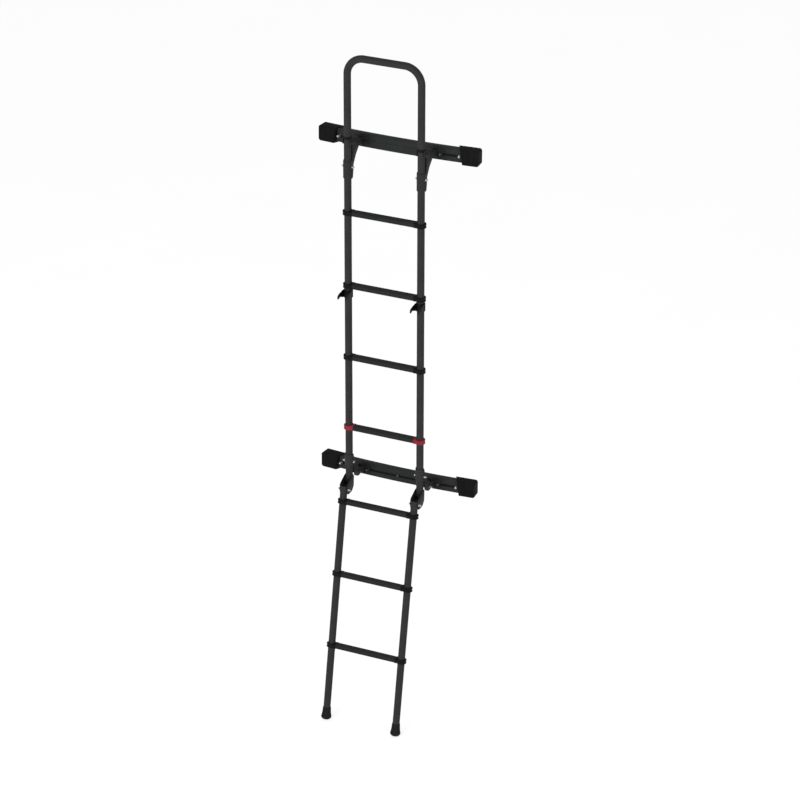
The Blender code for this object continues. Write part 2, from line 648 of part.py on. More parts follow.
def build_lower_section(rung, collars):
    pivot = bpy.data.objects.new("lower_section_pivot", None)
    pivot.location = (0, STILE_Y - PIVOT_OUT, PIVOT_Z)
    pivot.rotation_euler = (-TILT, 0, 0)
    parts.objects.link(pivot)
    tube = tube_mesh("lower_stile", FOOT_BASE - LOWER_LENGTH, -LOWER_TUBE_TOP)
    stile = cut_mesh("lower_stile", tube, [across(bolt_hole_mesh())])
    foot = foot_mesh()
    for side, word in ((-1, "left"), (1, "right")):
        x = side * HALF_SPACING
        add_part(f"lower_stile_{word}", stile, "charcoal_tube", location=(x, 0, 0), parent=pivot)
        add_part(f"foot_{word}", foot, "black_rubber", location=(x, 0, -LOWER_LENGTH), parent=pivot)
    heights = [-(FIRST_LOWER_RUNG + index * RUNG_PITCH) for index in range(3)]
    build_rungs(rung, collars, (5, 6, 7), heights, pivot, 0)


# ---------------------------------------------------------------- end pads
def pad_mesh():
    """Pad for a +X beam end: a rubber boot with a rounded outer end and a slanted mouth."""
    bm = bmesh.new()
    bmesh.ops.create_cube(bm, size=2.0)
    for vert in bm.verts:
        at_front = vert.co.y < 0
        mouth = PAD_INNER_FRONT if at_front else PAD_INNER_BACK
        vert.co.x = mouth if vert.co.x < 0 else PAD_OUTER
        vert.co.y = -PAD_FRONT if at_front else PAD_BACK
        vert.co.z *= PAD_HALF_HEIGHT
    corners = [e for e in bm.edges if all(v.co.x > PAD_OUTER - 1e-5 for v in e.verts)
               and abs(e.verts[0].co.z - e.verts[1].co.z) < 1e-6]
    bmesh.ops.bevel(bm, geom=corners, offset=PAD_CORNER, segments=4, profile=0.5, affect="EDGES")
    body = mesh_from(bm, "pad")
    face = BEAM_DEPTH / 2 + PAD_SIDE_GAP
    half_height = BEAM_HEIGHT / 2 + PAD_TOP_GAP
    cavity = box_mesh("cavity", (2 * PAD_INNER_BACK, -face, -half_height),
                      (PAD_CAVITY_END, face, half_height))
    # The tongue stands off the cavity wall, so that the union has no coplanar faces.
    tongue_back = -face - FIT_GAP
    tongue_front = tongue_back - TONGUE_THICKNESS
    tip = PAD_INNER_FRONT - TONGUE_REACH
    root = PAD_INNER_FRONT - TONGUE_ROOT
    tongue = box_mesh("tongue", (tip, tongue_front, SLOT_Z - TONGUE_HALF_HEIGHT),
                      (root, tongue_back, SLOT_Z + TONGUE_HALF_HEIGHT))
    return joined_mesh("pad", [cut_mesh("pad", body, [cavity]), tongue])


def build_pads(slot_bolt):
    mesh = pad_mesh()
    for level, z in (("upper", 0.0), ("lower", LOWER_BEAM_Z)):
        for side, word in ((-1, "left"), (1, "right")):
            flip = 0 if side > 0 else math.pi
            x = side * PAD_X
            add_part(f"{level}_pad_{word}", mesh, "black_rubber", location=beam_point(x, z),
                     rotation=(0, flip, beam_angle(x)))
            add_slot_bolt(f"{level}_pad_bolt_{word}", slot_bolt, side * PAD_BOLT_X, z)


# ---------------------------------------------------------------- whole object
def build():
    build_beams()
    build_hoop()
    build_upper_stiles()
    rung = rung_mesh()
    collar = collar_mesh()
    collars = {"black_plastic": collar, "red_plastic": collar.copy()}
    heights = [TOP_RUNG_Z - index * RUNG_PITCH for index in range(4)]
    build_rungs(rung, collars, (1, 2, 3, 4), heights, None, STILE_Y)
    cross_bolt = cross_bolt_mesh()
    slot_bolt = slot_bolt_mesh()
    build_brackets(cross_bolt, slot_bolt)
    build_hinges(cross_bolt)
    build_clips()
    build_lower_section(rung, collars)
    build_pads(slot_bolt)


clear_scene()
parts = new_collection("folding_door_ladder")
materials = {name: make_material(name) for name in MATERIALS}
build()
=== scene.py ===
"""Looks of the folding rear-door ladder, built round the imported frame.

Axes as in the frame: +X along the rungs, +Y towards the vehicle door, +Z up. Metres.
"""
import json
import math

import bmesh
import bpy
from mathutils import Matrix, Vector


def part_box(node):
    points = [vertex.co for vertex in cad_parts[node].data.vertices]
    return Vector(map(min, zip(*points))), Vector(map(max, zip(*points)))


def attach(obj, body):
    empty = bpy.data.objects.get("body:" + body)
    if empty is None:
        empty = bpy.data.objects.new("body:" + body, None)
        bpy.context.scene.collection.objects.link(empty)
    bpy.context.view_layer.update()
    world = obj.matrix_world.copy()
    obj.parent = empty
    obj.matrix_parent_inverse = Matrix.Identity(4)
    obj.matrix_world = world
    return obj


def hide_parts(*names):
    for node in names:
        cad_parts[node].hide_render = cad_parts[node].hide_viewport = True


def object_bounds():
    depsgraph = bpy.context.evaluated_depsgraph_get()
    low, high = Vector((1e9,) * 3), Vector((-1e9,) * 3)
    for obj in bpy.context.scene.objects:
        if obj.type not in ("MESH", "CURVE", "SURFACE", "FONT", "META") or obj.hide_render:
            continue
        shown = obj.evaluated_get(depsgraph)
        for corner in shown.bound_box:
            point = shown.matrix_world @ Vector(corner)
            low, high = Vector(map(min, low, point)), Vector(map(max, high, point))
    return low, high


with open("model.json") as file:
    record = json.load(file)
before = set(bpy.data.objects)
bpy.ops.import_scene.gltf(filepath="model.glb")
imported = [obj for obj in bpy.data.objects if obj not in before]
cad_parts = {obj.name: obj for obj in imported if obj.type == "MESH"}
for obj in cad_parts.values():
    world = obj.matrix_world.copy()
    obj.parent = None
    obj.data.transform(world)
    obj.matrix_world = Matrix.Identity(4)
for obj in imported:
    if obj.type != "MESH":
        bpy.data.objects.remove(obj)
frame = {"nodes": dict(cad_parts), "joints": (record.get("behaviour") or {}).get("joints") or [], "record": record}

cad_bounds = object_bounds()


# ---------------------------------------------------------------- dimensions, from the frame
def low(node, axis):
    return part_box(node)[0][axis]


def high(node, axis):
    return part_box(node)[1][axis]


def span(node, axis):
    return high(node, axis) - low(node, axis)


def middle(node, axis):
    return (high(node, axis) + low(node, axis)) / 2


X, Y, Z = 0, 1, 2
SIDES = ((-1, "left"), (1, "right"))
FOLD = next(joint for joint in frame["joints"] if joint["name"] == "lower_fold")
PIVOT = Vector(FOLD["pos_m"])
TILT = math.pi - math.radians(FOLD["range_deg"][1])   # the folding part leans outwards by this

STILE_X = middle("upper_stile_right", X)
STILE_Y = middle("upper_stile_right", Y)
STILE_TOP = high("upper_stile_right", Z)
STILE_FOOT = low("upper_stile_right", Z)
TUBE_RADIUS = span("upper_stile_right", X) / 2
TUBE_WALL = 0.002
GAP = 0.0003

HOOP_TOP = high("top_hoop", Z) - TUBE_RADIUS
HOOP_BEND = 0.067

BEAM_HEIGHT = span("upper_beam", Z)
BEAM_DEPTH = 0.022
BEAM_HALF_LENGTH = span("upper_beam", X) / 2
BEAM_BOW_RADIUS = 3.3
BEAM_Z = {"upper": middle("upper_beam", Z), "lower": middle("lower_beam", Z)}
SLOT_Z = -0.0025             # slot axis, from the middle of the beam
SLOT_MOUTH = 0.009
SLOT_LIP = 0.0025
SLOT_CHANNEL = 0.017
SLOT_DEPTH = 0.0105

RUNG_HEIGHT = span("rung_1", Z)
RUNG_DEPTH = span("rung_1", Y)
RUNG_HALF_LENGTH = span("rung_1", X) / 2
RUNG_CORNER = 0.006
COLLAR_RADIUS = span("rung_1_collar_right", Y) / 2
COLLAR_HEIGHT = 0.0165
SOCKET_REACH = STILE_X - low("rung_1_collar_right", X) - 0.0030
SOCKET_WALL = 0.0015

PLATE = 0.003
CHEEK_INNER = TUBE_RADIUS + 0.0004
CHEEK_OUTER = CHEEK_INNER + PLATE
EAR_OUTER = CHEEK_INNER + 0.0004
FLANGE_HALF_WIDTH = 0.033
FLANGE_HALF_HEIGHT = 0.0165
FLANGE_BOLT_OFFSET = 0.0215
HOLE_RADIUS = 0.0044
SHANK_RADIUS = 0.0030
HEX_RADIUS = 0.0044          # to the corners
WASHER_RADIUS = 0.0049
WASHER_THICKNESS = 0.0012

PAD_X = 0.290
PAD_BOLT_X = 0.2465
PAD_FRONT = 0.025
PAD_BACK = 0.017
PAD_OUTER = 0.036
PAD_HALF_HEIGHT = span("upper_pad_right", Z) / 2
PAD_CORNER = 0.010
PAD_EDGE = 0.004
PAD_CROWN = 0.0012
TONGUE_FRONT = 0.0144        # from the beam's middle

FOOT_HEIGHT = 0.050
LOWER_TUBE_TOP = 0.014       # above the pivot, along the tilted stile
LOWER_LENGTH = 0.9476        # pivot to the base of the foot
FIRST_LOWER_RUNG = 0.0476
RUNG_PITCH = middle("rung_1", Z) - middle("rung_2", Z)

LEAN = Matrix.Translation((0, PIVOT.y, PIVOT.z)) @ Matrix.Rotation(-TILT, 4, "X")


# ---------------------------------------------------------------- mesh helpers
def mesh_from(bm, name):
    bmesh.ops.remove_doubles(bm, verts=bm.verts, dist=1e-6)
    bmesh.ops.recalc_face_normals(bm, faces=bm.faces)
    mesh = bpy.data.meshes.new(name)
    bm.to_mesh(mesh)
    bm.free()
    return mesh


def moved(mesh, matrix):
    copy = mesh.copy()
    copy.transform(matrix)
    return copy


def shift(x=0.0, y=0.0, z=0.0):
    return Matrix.Translation((x, y, z))


def turn(angle, axis):
    return Matrix.Rotation(angle, 4, axis)


def turned_mesh(name, profile, segments, closed=False):
    """Body of revolution about Z from (radius, height) points."""
    bm = bmesh.new()
    verts = [bm.verts.new((radius, 0, height)) for radius, height in profile]
    pairs = list(zip(verts, verts[1:]))
    if closed:
        pairs.append((verts[-1], verts[0]))
    edges = [bm.edges.new(pair) for pair in pairs]
    bmesh.ops.spin(bm, geom=verts + edges, axis=(0, 0, 1), cent=(0, 0, 0),
                   angle=2 * math.pi, steps=segments)
    return mesh_from(bm, name)


def loft_mesh(name, sections):
    """Closed solid through sections, each a ring of the same number of 3-D points."""
    bm = bmesh.new()
    rings = [[bm.verts.new(point) for point in section] for section in sections]
    count = len(rings[0])
    for near, far in zip(rings, rings[1:]):
        for index in range(count):
            following = (index + 1) % count
            bm.faces.new((near[index], near[following], far[following], far[index]))
    bm.faces.new(rings[0])
    bm.faces.new(reversed(rings[-1]))
    return mesh_from(bm, name)


def rounded(points, radius, steps=5):
    """Polygon with each corner replaced by a smooth curve that starts radius-ish before it."""
    result = []
    count = len(points)
    for index, corner in enumerate(points):
        corner = Vector(corner)
        before = Vector(points[index - 1]) - corner
        after = Vector(points[(index + 1) % count]) - corner
        reach_in = min(radius, before.length * 0.45)
        reach_out = min(radius, after.length * 0.45)
        start = corner + before.normalized() * reach_in
        end = corner + after.normalized() * reach_out
        for step in range(steps + 1):
            t = step / steps
            result.append(tuple(start * (1 - t) ** 2 + corner * 2 * t * (1 - t) + end * t ** 2))
    return result


def rounded_rectangle(width, height, radius, steps=6, inset=0.0):
    """Outline with circular corners, centred on the origin."""
    radius = max(radius - inset, 0.0002)
    half_width = width / 2 - inset - radius
    half_height = height / 2 - inset - radius
    points = []
    for corner, (sx, sz) in enumerate(((1, 1), (-1, 1), (-1, -1), (1, -1))):
        for step in range(steps + 1):
            angle = (corner + step / steps) * math.pi / 2
            points.append((sx * half_width + radius * math.cos(angle),
                           sz * half_height + radius * math.sin(angle)))
    return points


def circle(centre_y, centre_z, radius, steps=20):
    return [(centre_y + radius * math.cos(2 * math.pi * step / steps),
             centre_z + radius * math.sin(2 * math.pi * step / steps)) for step in range(steps)]


def flat_mesh(name, outlines, thickness, bevel=0.0):
    """Flat outlines, the later ones holes, made solid about z = 0 with softened edges."""
    curve = bpy.data.curves.new(name, "CURVE")
    curve.dimensions = "2D"
    curve.fill_mode = "BOTH"
    curve.extrude = thickness / 2 - bevel
    curve.bevel_depth = bevel
    curve.bevel_resolution = 1
    curve.offset = -bevel
    for outline in outlines:
        spline = curve.splines.new("POLY")
        spline.points.add(len(outline) - 1)
        for point, (u, v) in zip(spline.points, outline):
            point.co = (u, v, 0, 1)
        spline.use_cyclic_u = True
    return mesh_of_curve(name, curve)


def mesh_of_curve(name, curve):
    helper = bpy.data.objects.new(name, curve)
    bpy.context.scene.collection.objects.link(helper)
    flat = bpy.data.meshes.new_from_object(helper.evaluated_get(bpy.context.evaluated_depsgraph_get()))
    bpy.data.objects.remove(helper)
    bm = bmesh.new()
    bm.from_mesh(flat)
    return mesh_from(bm, name)


def side_plate(name, outlines, inner, outer, bevel=0.0004):
    """Plate whose outline lies in the YZ plane, from X inner to X outer."""
    to_side = Matrix(((0, 0, 1, (inner + outer) / 2), (1, 0, 0, 0), (0, 1, 0, 0), (0, 0, 0, 1)))
    return moved(flat_mesh(name, outlines, outer - inner, bevel), to_side)


def combined(name, meshes, operation):
    """Boolean of the first mesh with each of the others."""
    tools = [bpy.data.objects.new(name, mesh) for mesh in meshes]
    for tool in tools:
        bpy.context.scene.collection.objects.link(tool)
    for tool in tools[1:]:
        modifier = tools[0].modifiers.new(operation, "BOOLEAN")
        modifier.operation = operation
        modifier.solver = "EXACT"
        modifier.object = tool
    evaluated = tools[0].evaluated_get(bpy.context.evaluated_depsgraph_get())
    result = bpy.data.meshes.new_from_object(evaluated)
    for tool in tools:
        bpy.data.objects.remove(tool)
    result.materials.clear()
    return result


def joined(name, meshes):
    """Meshes put together as one, each keeping its own closed shell."""
    bm = bmesh.new()
    for mesh in meshes:
        bm.from_mesh(mesh)
    return mesh_from(bm, name)


def mirrored_x(mesh):
    bm = bmesh.new()
    bm.from_mesh(mesh)
    bmesh.ops.scale(bm, vec=(-1, 1, 1), verts=bm.verts)
    return mesh_from(bm, mesh.name)


def block_mesh(name, low_corner, high_corner, bevel=0.0006):
    """Box with softened edges."""
    low_corner = Vector(low_corner)
    size = Vector(high_corner) - low_corner
    bm = bmesh.new()
    bmesh.ops.create_cube(bm, size=1.0)
    bmesh.ops.scale(bm, vec=size, verts=bm.verts)
    bmesh.ops.translate(bm, vec=low_corner + size / 2, verts=bm.verts)
    bmesh.ops.bevel(bm, geom=bm.edges[:], offset=bevel, segments=2, profile=0.5, affect="EDGES")
    return mesh_from(bm, name)


def add_piece(name, mesh, finish, body, nodes=(), place=Matrix.Identity(4), sharp=38):
    """One visible piece that rides on a body and stands for CAD nodes."""
    mesh = mesh.copy()
    mesh.name = name
    mesh.materials.clear()
    mesh.materials.append(finishes[finish])
    mesh.shade_smooth()
    mesh.set_sharp_from_angle(angle=math.radians(sharp))
    piece = bpy.data.objects.new(name, mesh)
    bpy.context.scene.collection.objects.link(piece)
    piece.matrix_world = place
    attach(piece, body)
    if nodes:
        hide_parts(*nodes)
    return piece


# ---------------------------------------------------------------- shader helpers
def add_node(tree, kind, inputs=None, **settings):
    made = tree.nodes.new(kind)
    for key, value in settings.items():
        setattr(made, key, value)
    for key, value in (inputs or {}).items():
        if isinstance(value, bpy.types.NodeSocket):
            tree.links.new(value, made.inputs[key])
        else:
            made.inputs[key].default_value = value
    return made


def object_space(tree, scale=(1, 1, 1)):
    """Object coordinates, stretched by scale."""
    coordinates = add_node(tree, "ShaderNodeTexCoord").outputs["Object"]
    return add_node(tree, "ShaderNodeMapping", {"Vector": coordinates, "Scale": scale}).outputs[0]


def noise(tree, vector, scale, detail=2.0, roughness=0.5):
    return add_node(tree, "ShaderNodeTexNoise", {"Vector": vector, "Scale": scale, "Detail": detail,
                                                 "Roughness": roughness}).outputs["Fac"]


def remap(tree, value, from_low, from_high, to_low, to_high):
    return add_node(tree, "ShaderNodeMapRange", {"Value": value, "From Min": from_low, "From Max": from_high,
                                                 "To Min": to_low, "To Max": to_high}).outputs[0]


def math_node(tree, operation, a, b):
    return add_node(tree, "ShaderNodeMath", {0: a, 1: b}, operation=operation).outputs[0]


def mix_colour(tree, factor, a, b):
    made = add_node(tree, "ShaderNodeMix", {"Factor": factor, 6: a, 7: b}, data_type="RGBA")
    return made.outputs[2]


def edge_mask(tree, radius):
    """1 on convex and concave edges, 0 on flat surface."""
    rounded_normal = add_node(tree, "ShaderNodeBevel", {"Radius": radius}, samples=4).outputs[0]
    true_normal = add_node(tree, "ShaderNodeNewGeometry").outputs["Normal"]
    likeness = add_node(tree, "ShaderNodeVectorMath", {0: rounded_normal, 1: true_normal},
                        operation="DOT_PRODUCT").outputs["Value"]
    return remap(tree, likeness, 0.995, 0.93, 0.0, 1.0)


def new_finish(name):
    material = bpy.data.materials.new(name)
    material.use_nodes = True
    tree = material.node_tree
    return material, tree, tree.nodes["Principled BSDF"]


def scaled(colour, factor):
    return (*(channel * factor for channel in colour), 1.0)


def bump(tree, height, strength, distance, normal=None):
    inputs = {"Height": height, "Strength": strength, "Distance": distance}
    if normal is not None:
        inputs["Normal"] = normal
    return add_node(tree, "ShaderNodeBump", inputs).outputs[0]


# ---------------------------------------------------------------- finishes
def powder_coat(name, colour, roughness, metallic=0.0, drawn=False, wear=0.35):
    """Satin powder coat: orange-peel grain, clouding and rubbed edges, with draw lines on extrusions."""
    material, tree, shader = new_finish(name)
    space = object_space(tree)
    clouds = noise(tree, space, 14.0, 4.0, 0.6)
    grain = noise(tree, space, 900.0, 3.0, 0.65)
    speck = noise(tree, space, 2600.0, 1.0)
    tone = remap(tree, clouds, 0.3, 0.7, 0.0, 1.0)
    base = mix_colour(tree, tone, scaled(colour, 0.86), scaled(colour, 1.14))
    base = mix_colour(tree, remap(tree, speck, 0.62, 0.72, 0.0, 0.35), base, scaled(colour, 1.9))
    scuff = remap(tree, noise(tree, space, 60.0, 5.0, 0.7), 0.42, 0.62, 0.0, wear)
    rubbed = math_node(tree, "MULTIPLY", edge_mask(tree, 0.0007), scuff)
    base = mix_colour(tree, rubbed, base, scaled(colour, 4.2))
    tree.links.new(base, shader.inputs["Base Color"])
    shine = remap(tree, grain, 0.3, 0.7, roughness - 0.06, roughness + 0.08)
    tree.links.new(shine, shader.inputs["Roughness"])
    shader.inputs["Metallic"].default_value = metallic
    shader.inputs["Specular IOR Level"].default_value = 0.12
    normal = bump(tree, grain, 0.35, 0.00010)
    if drawn:
        lines = noise(tree, object_space(tree, (2.0, 900.0, 900.0)), 1.0, 3.0, 0.7)
        normal = bump(tree, lines, 0.25, 0.00008, normal)
    tree.links.new(normal, shader.inputs["Normal"])
    return material


def moulded(name, colour, roughness, grain_scale, grain_depth, bloom=0.0):
    """Moulded plastic or rubber: spark-eroded grain, faint flow marks and a dusty bloom."""
    material, tree, shader = new_finish(name)
    space = object_space(tree)
    flow = noise(tree, object_space(tree, (30.0, 30.0, 8.0)), 1.0, 3.0, 0.55)
    cells = add_node(tree, "ShaderNodeTexVoronoi", {"Vector": space, "Scale": grain_scale},
                     feature="SMOOTH_F1").outputs["Distance"]
    fine = noise(tree, space, grain_scale * 2.2, 2.0)
    base = mix_colour(tree, remap(tree, flow, 0.35, 0.65, 0.0, 1.0), scaled(colour, 0.8), scaled(colour, 1.2))
    dust = remap(tree, noise(tree, space, 45.0, 5.0, 0.7), 0.5, 0.75, 0.0, bloom)
    base = mix_colour(tree, dust, base, (0.09, 0.088, 0.084, 1.0))
    rubbed = math_node(tree, "MULTIPLY", edge_mask(tree, 0.0006), remap(tree, flow, 0.4, 0.7, 0.05, 0.3))
    base = mix_colour(tree, rubbed, base, scaled(colour, 2.4))
    tree.links.new(base, shader.inputs["Base Color"])
    shader.inputs["Specular IOR Level"].default_value = 0.08
    shine = remap(tree, fine, 0.3, 0.7, roughness - 0.07, roughness + 0.07)
    tree.links.new(shine, shader.inputs["Roughness"])
    height = math_node(tree, "ADD", cells, math_node(tree, "MULTIPLY", fine, 0.5))
    tree.links.new(bump(tree, height, 0.4, grain_depth), shader.inputs["Normal"])
    return material


def zinc_plate(name, dark, light, roughness):
    """Zinc: turned rings round the axis, cloudy passivation and painted shade that darkens the hollows."""
    material, tree, shader = new_finish(name)
    space = object_space(tree)
    clouds = noise(tree, space, 260.0, 3.0, 0.6)
    rings = noise(tree, object_space(tree, (60.0, 60.0, 5200.0)), 1.0, 2.0)
    base = mix_colour(tree, remap(tree, clouds, 0.35, 0.65, 0.0, 1.0), (*dark, 1.0), (*light, 1.0))
    # Painted shade: ambient occlusion pulls the colour towards a darker zinc tone in hollows and where parts meet.
    painted_hollow_shade = add_node(tree, "ShaderNodeAmbientOcclusion", {"Distance": 0.003}, samples=4).outputs["AO"]
    base = mix_colour(tree, remap(tree, painted_hollow_shade, 0.35, 0.8, 0.0, 1.0), scaled(dark, 0.3), base)
    tree.links.new(base, shader.inputs["Base Color"])
    shader.inputs["Metallic"].default_value = 1.0
    shine = remap(tree, clouds, 0.3, 0.7, roughness - 0.09, roughness + 0.09)
    tree.links.new(shine, shader.inputs["Roughness"])
    tree.links.new(bump(tree, rings, 0.15, 0.00004), shader.inputs["Normal"])
    return material


finishes = {
    "charcoal_tube": powder_coat("charcoal_tube", (0.021, 0.021, 0.0213), 0.58),
    "charcoal_rung": powder_coat("charcoal_rung", (0.0125, 0.0140, 0.0136), 0.58, drawn=True),
    "charcoal_beam": powder_coat("charcoal_beam", (0.0165, 0.0184, 0.0178), 0.57, drawn=True),
    "black_steel": powder_coat("black_steel", (0.0145, 0.0145, 0.0148), 0.55, wear=0.4),
    # Lighter copy of black_steel for the bracket bands: painted light on the front-facing part of a plate that has
    # one finish throughout.
    "band_steel_painted_light": powder_coat("band_steel_painted_light", (0.0200, 0.0200, 0.0203), 0.57, wear=0.4),
    "black_plastic": moulded("black_plastic", (0.0042, 0.0042, 0.0042), 0.52, 1500.0, 0.00008),
    "red_plastic": moulded("red_plastic", (0.21, 0.017, 0.031), 0.50, 1500.0, 0.00008),
    "foot_rubber": moulded("foot_rubber", (0.0085, 0.0085, 0.0086), 0.68, 320.0, 0.00030, bloom=0.06),
    "black_rubber": moulded("black_rubber", (0.0040, 0.0040, 0.0041), 0.72, 900.0, 0.00014, bloom=0.03),
    "zinc_steel": zinc_plate("zinc_steel", (0.46, 0.47, 0.48), (0.62, 0.61, 0.58), 0.36),
    # Darker copy of the zinc finish, for bolts that sit in shade: painted shade.
    "zinc_painted_shade": zinc_plate("zinc_painted_shade", (0.10, 0.10, 0.105), (0.17, 0.17, 0.165), 0.48),
}


# ---------------------------------------------------------------- tubes
def softened_tube(name, bottom, top, radius=TUBE_RADIUS, wall=TUBE_WALL, edge=0.0005):
    inner = radius - wall
    profile = [(radius - edge, bottom), (radius, bottom + edge), (radius, top - edge), (radius - edge, top),
               (inner + edge, top), (inner, top - edge), (inner, bottom + edge), (inner + edge, bottom)]
    return turned_mesh(name, profile, 56, closed=True)


def build_hoop():
    reach = STILE_X - HOOP_BEND
    steps = 24
    path = [(-STILE_X, STILE_TOP + GAP)]
    for side, start in ((-1, math.pi), (1, math.pi / 2)):
        for index in range(steps + 1):
            angle = start - index * math.pi / 2 / steps
            path.append((side * reach + HOOP_BEND * math.cos(angle),
                         HOOP_TOP - HOOP_BEND + HOOP_BEND * math.sin(angle)))
    path.append((STILE_X, STILE_TOP + GAP))
    curve = bpy.data.curves.new("hoop", "CURVE")
    curve.dimensions = "3D"
    curve.bevel_depth = TUBE_RADIUS
    curve.bevel_resolution = 22
    curve.use_fill_caps = True
    spline = curve.splines.new("POLY")
    spline.points.add(len(path) - 1)
    for point, (x, z) in zip(spline.points, path):
        point.co = (x, STILE_Y, z, 1)
    add_piece("top_hoop_tube", mesh_of_curve("hoop", curve), "charcoal_tube", "frame", ["top_hoop"])


def build_stiles():
    upper = softened_tube("upper_stile", STILE_FOOT, STILE_TOP)
    lower = softened_tube("lower_stile", FOOT_HEIGHT - 0.036 - LOWER_LENGTH, LOWER_TUBE_TOP)
    hole_radius = SHANK_RADIUS + GAP
    hole = turned_mesh("hole", [(0, -0.03), (hole_radius, -0.03), (hole_radius, 0.03), (0, 0.03)], 32)
    lower = combined("lower_stile", [lower, moved(hole, turn(math.pi / 2, "Y"))], "DIFFERENCE")
    ring_low = STILE_TOP - 0.006
    ring_outer = TUBE_RADIUS + 0.0009
    ring_profile = [(TUBE_RADIUS + 0.0001, ring_low), (ring_outer - 0.0004, ring_low),
                    (ring_outer, ring_low + 0.0012), (ring_outer, ring_low + 0.0108),
                    (ring_outer - 0.0004, ring_low + 0.012), (TUBE_RADIUS + 0.0001, ring_low + 0.012)]
    ring = turned_mesh("joint_ring", ring_profile, 56, closed=True)
    plug_radius = TUBE_RADIUS - TUBE_WALL - 0.0001
    plug_top = LOWER_TUBE_TOP - 0.0005
    plug_profile = [(0, plug_top), (plug_radius - 0.0008, plug_top), (plug_radius, plug_top - 0.0008),
                    (plug_radius, plug_top - 0.0080), (0, plug_top - 0.0080)]
    plug = turned_mesh("tube_plug", plug_profile, 40)
    for side, word in SIDES:
        x = side * STILE_X
        add_piece(f"upper_stile_{word}_tube", upper, "charcoal_tube", "frame", [f"upper_stile_{word}"],
                  shift(x, STILE_Y))
        add_piece(f"joint_ring_{word}", ring, "black_plastic", "frame", place=shift(x, STILE_Y))
        add_piece(f"lower_stile_{word}_tube", lower, "charcoal_tube", "lower_section",
                  [f"lower_stile_{word}"], LEAN @ shift(x))
        add_piece(f"lower_stile_{word}_plug", plug, "black_plastic", "lower_section", place=LEAN @ shift(x))


# ---------------------------------------------------------------- rungs and collars
def rung_outline():
    """Flat oval section with a ribbed tread along the top."""
    rib_pitch = 0.0026
    rib_count = 7
    groove_depth = 0.0007
    outline = rounded_rectangle(RUNG_DEPTH, RUNG_HEIGHT, RUNG_CORNER, steps=8)
    top = RUNG_HEIGHT / 2
    ribs = []
    for index in range(rib_count):
        centre = (rib_count - 1) / 2 * rib_pitch - index * rib_pitch
        half = rib_pitch * 0.24
        ribs += [(centre + half * 1.5, top), (centre + half, top - groove_depth),
                 (centre - half, top - groove_depth), (centre - half * 1.5, top)]
    corner_points = len(outline) // 4
    return outline[:corner_points] + ribs + outline[corner_points:]


def rung_mesh():
    section = rung_outline()
    ends = (-RUNG_HALF_LENGTH, RUNG_HALF_LENGTH)
    return loft_mesh("rung", [[(x, y, z) for y, z in section] for x in ends])


def collar_mesh():
    """Moulded ring round the stile and a lipped socket that points to +X."""
    half = COLLAR_HEIGHT / 2
    bore = TUBE_RADIUS + GAP
    outer = COLLAR_RADIUS
    waist = outer - 0.0008
    profile = [(bore, -half + 0.0006), (bore + 0.0006, -half), (outer - 0.0012, -half),
               (outer - 0.0003, -half + 0.0004), (outer, -half + 0.0014), (outer, -half + 0.0040),
               (waist, -half + 0.0052), (waist, half - 0.0052),
               (outer, half - 0.0040), (outer, half - 0.0014), (outer - 0.0003, half - 0.0004),
               (outer - 0.0012, half), (bore + 0.0006, half), (bore, half - 0.0006)]
    ring = turned_mesh("ring", profile, 56, closed=True)
    width = RUNG_DEPTH + 2 * SOCKET_WALL
    height = RUNG_HEIGHT + 2 * SOCKET_WALL
    corner = RUNG_CORNER + SOCKET_WALL
    lip = SOCKET_REACH - 0.0045
    stations = ((0.0065, 0.0012), (lip, 0.0006), (lip + 0.0008, 0.0), (SOCKET_REACH - 0.0012, 0.0),
                (SOCKET_REACH - 0.0003, 0.0004), (SOCKET_REACH, 0.0011))
    socket = loft_mesh("socket", [[(x, y, z) for y, z in rounded_rectangle(width, height, corner, 6, inset)]
                                  for x, inset in stations])
    seat = COLLAR_RADIUS - 0.002 - GAP
    opening = rounded_rectangle(RUNG_DEPTH + 2 * GAP, RUNG_HEIGHT + 2 * GAP, RUNG_CORNER + GAP)
    pocket = loft_mesh("pocket", [[(x, y, z) for y, z in opening] for x in (seat, SOCKET_REACH + 0.01)])
    tunnel = turned_mesh("tunnel", [(0, -0.03), (bore, -0.03), (bore, 0.03), (0, 0.03)], 56)
    socket = combined("socket", [socket, tunnel, pocket], "DIFFERENCE")
    return combined("collar", [ring, socket], "UNION")


def build_rungs():
    rung = rung_mesh()
    collar = collar_mesh()
    for number in range(1, 8):
        folding = number > 4
        body = "lower_section" if folding else "frame"
        if folding:
            place = LEAN @ shift(z=-(FIRST_LOWER_RUNG + (number - 5) * RUNG_PITCH))
        else:
            place = shift(y=STILE_Y, z=middle(f"rung_{number}", Z))
        add_piece(f"rung_{number}_tread", rung, "charcoal_rung", body, [f"rung_{number}"], place)
        finish = "red_plastic" if number == 4 else "black_plastic"
        for side, word in SIDES:
            facing = turn(0 if side < 0 else math.pi, "Z")
            add_piece(f"rung_{number}_socket_{word}", collar, finish, body,
                      [f"rung_{number}_collar_{word}"], place @ shift(side * STILE_X) @ facing)


# ---------------------------------------------------------------- beams
def beam_sag(x):
    """How far the bowed beam's rear face lies back at x."""
    return x * x / (2 * BEAM_BOW_RADIUS)


def beam_angle(x):
    return math.atan2(x, BEAM_BOW_RADIUS)


def beam_place(x, z):
    """Frame at the middle of the beam's section, its own -Y facing out of the beam's front."""
    return shift(x, beam_sag(x) - BEAM_DEPTH / 2, z) @ turn(beam_angle(x), "Z")


def corner_arc(centre_y, centre_z, radius, start, steps=6):
    """Quarter circle that turns clockwise from the start angle, in degrees."""
    angles = [math.radians(start - 90 * step / steps) for step in range(steps + 1)]
    return [(centre_y + radius * math.cos(angle), centre_z + radius * math.sin(angle)) for angle in angles]


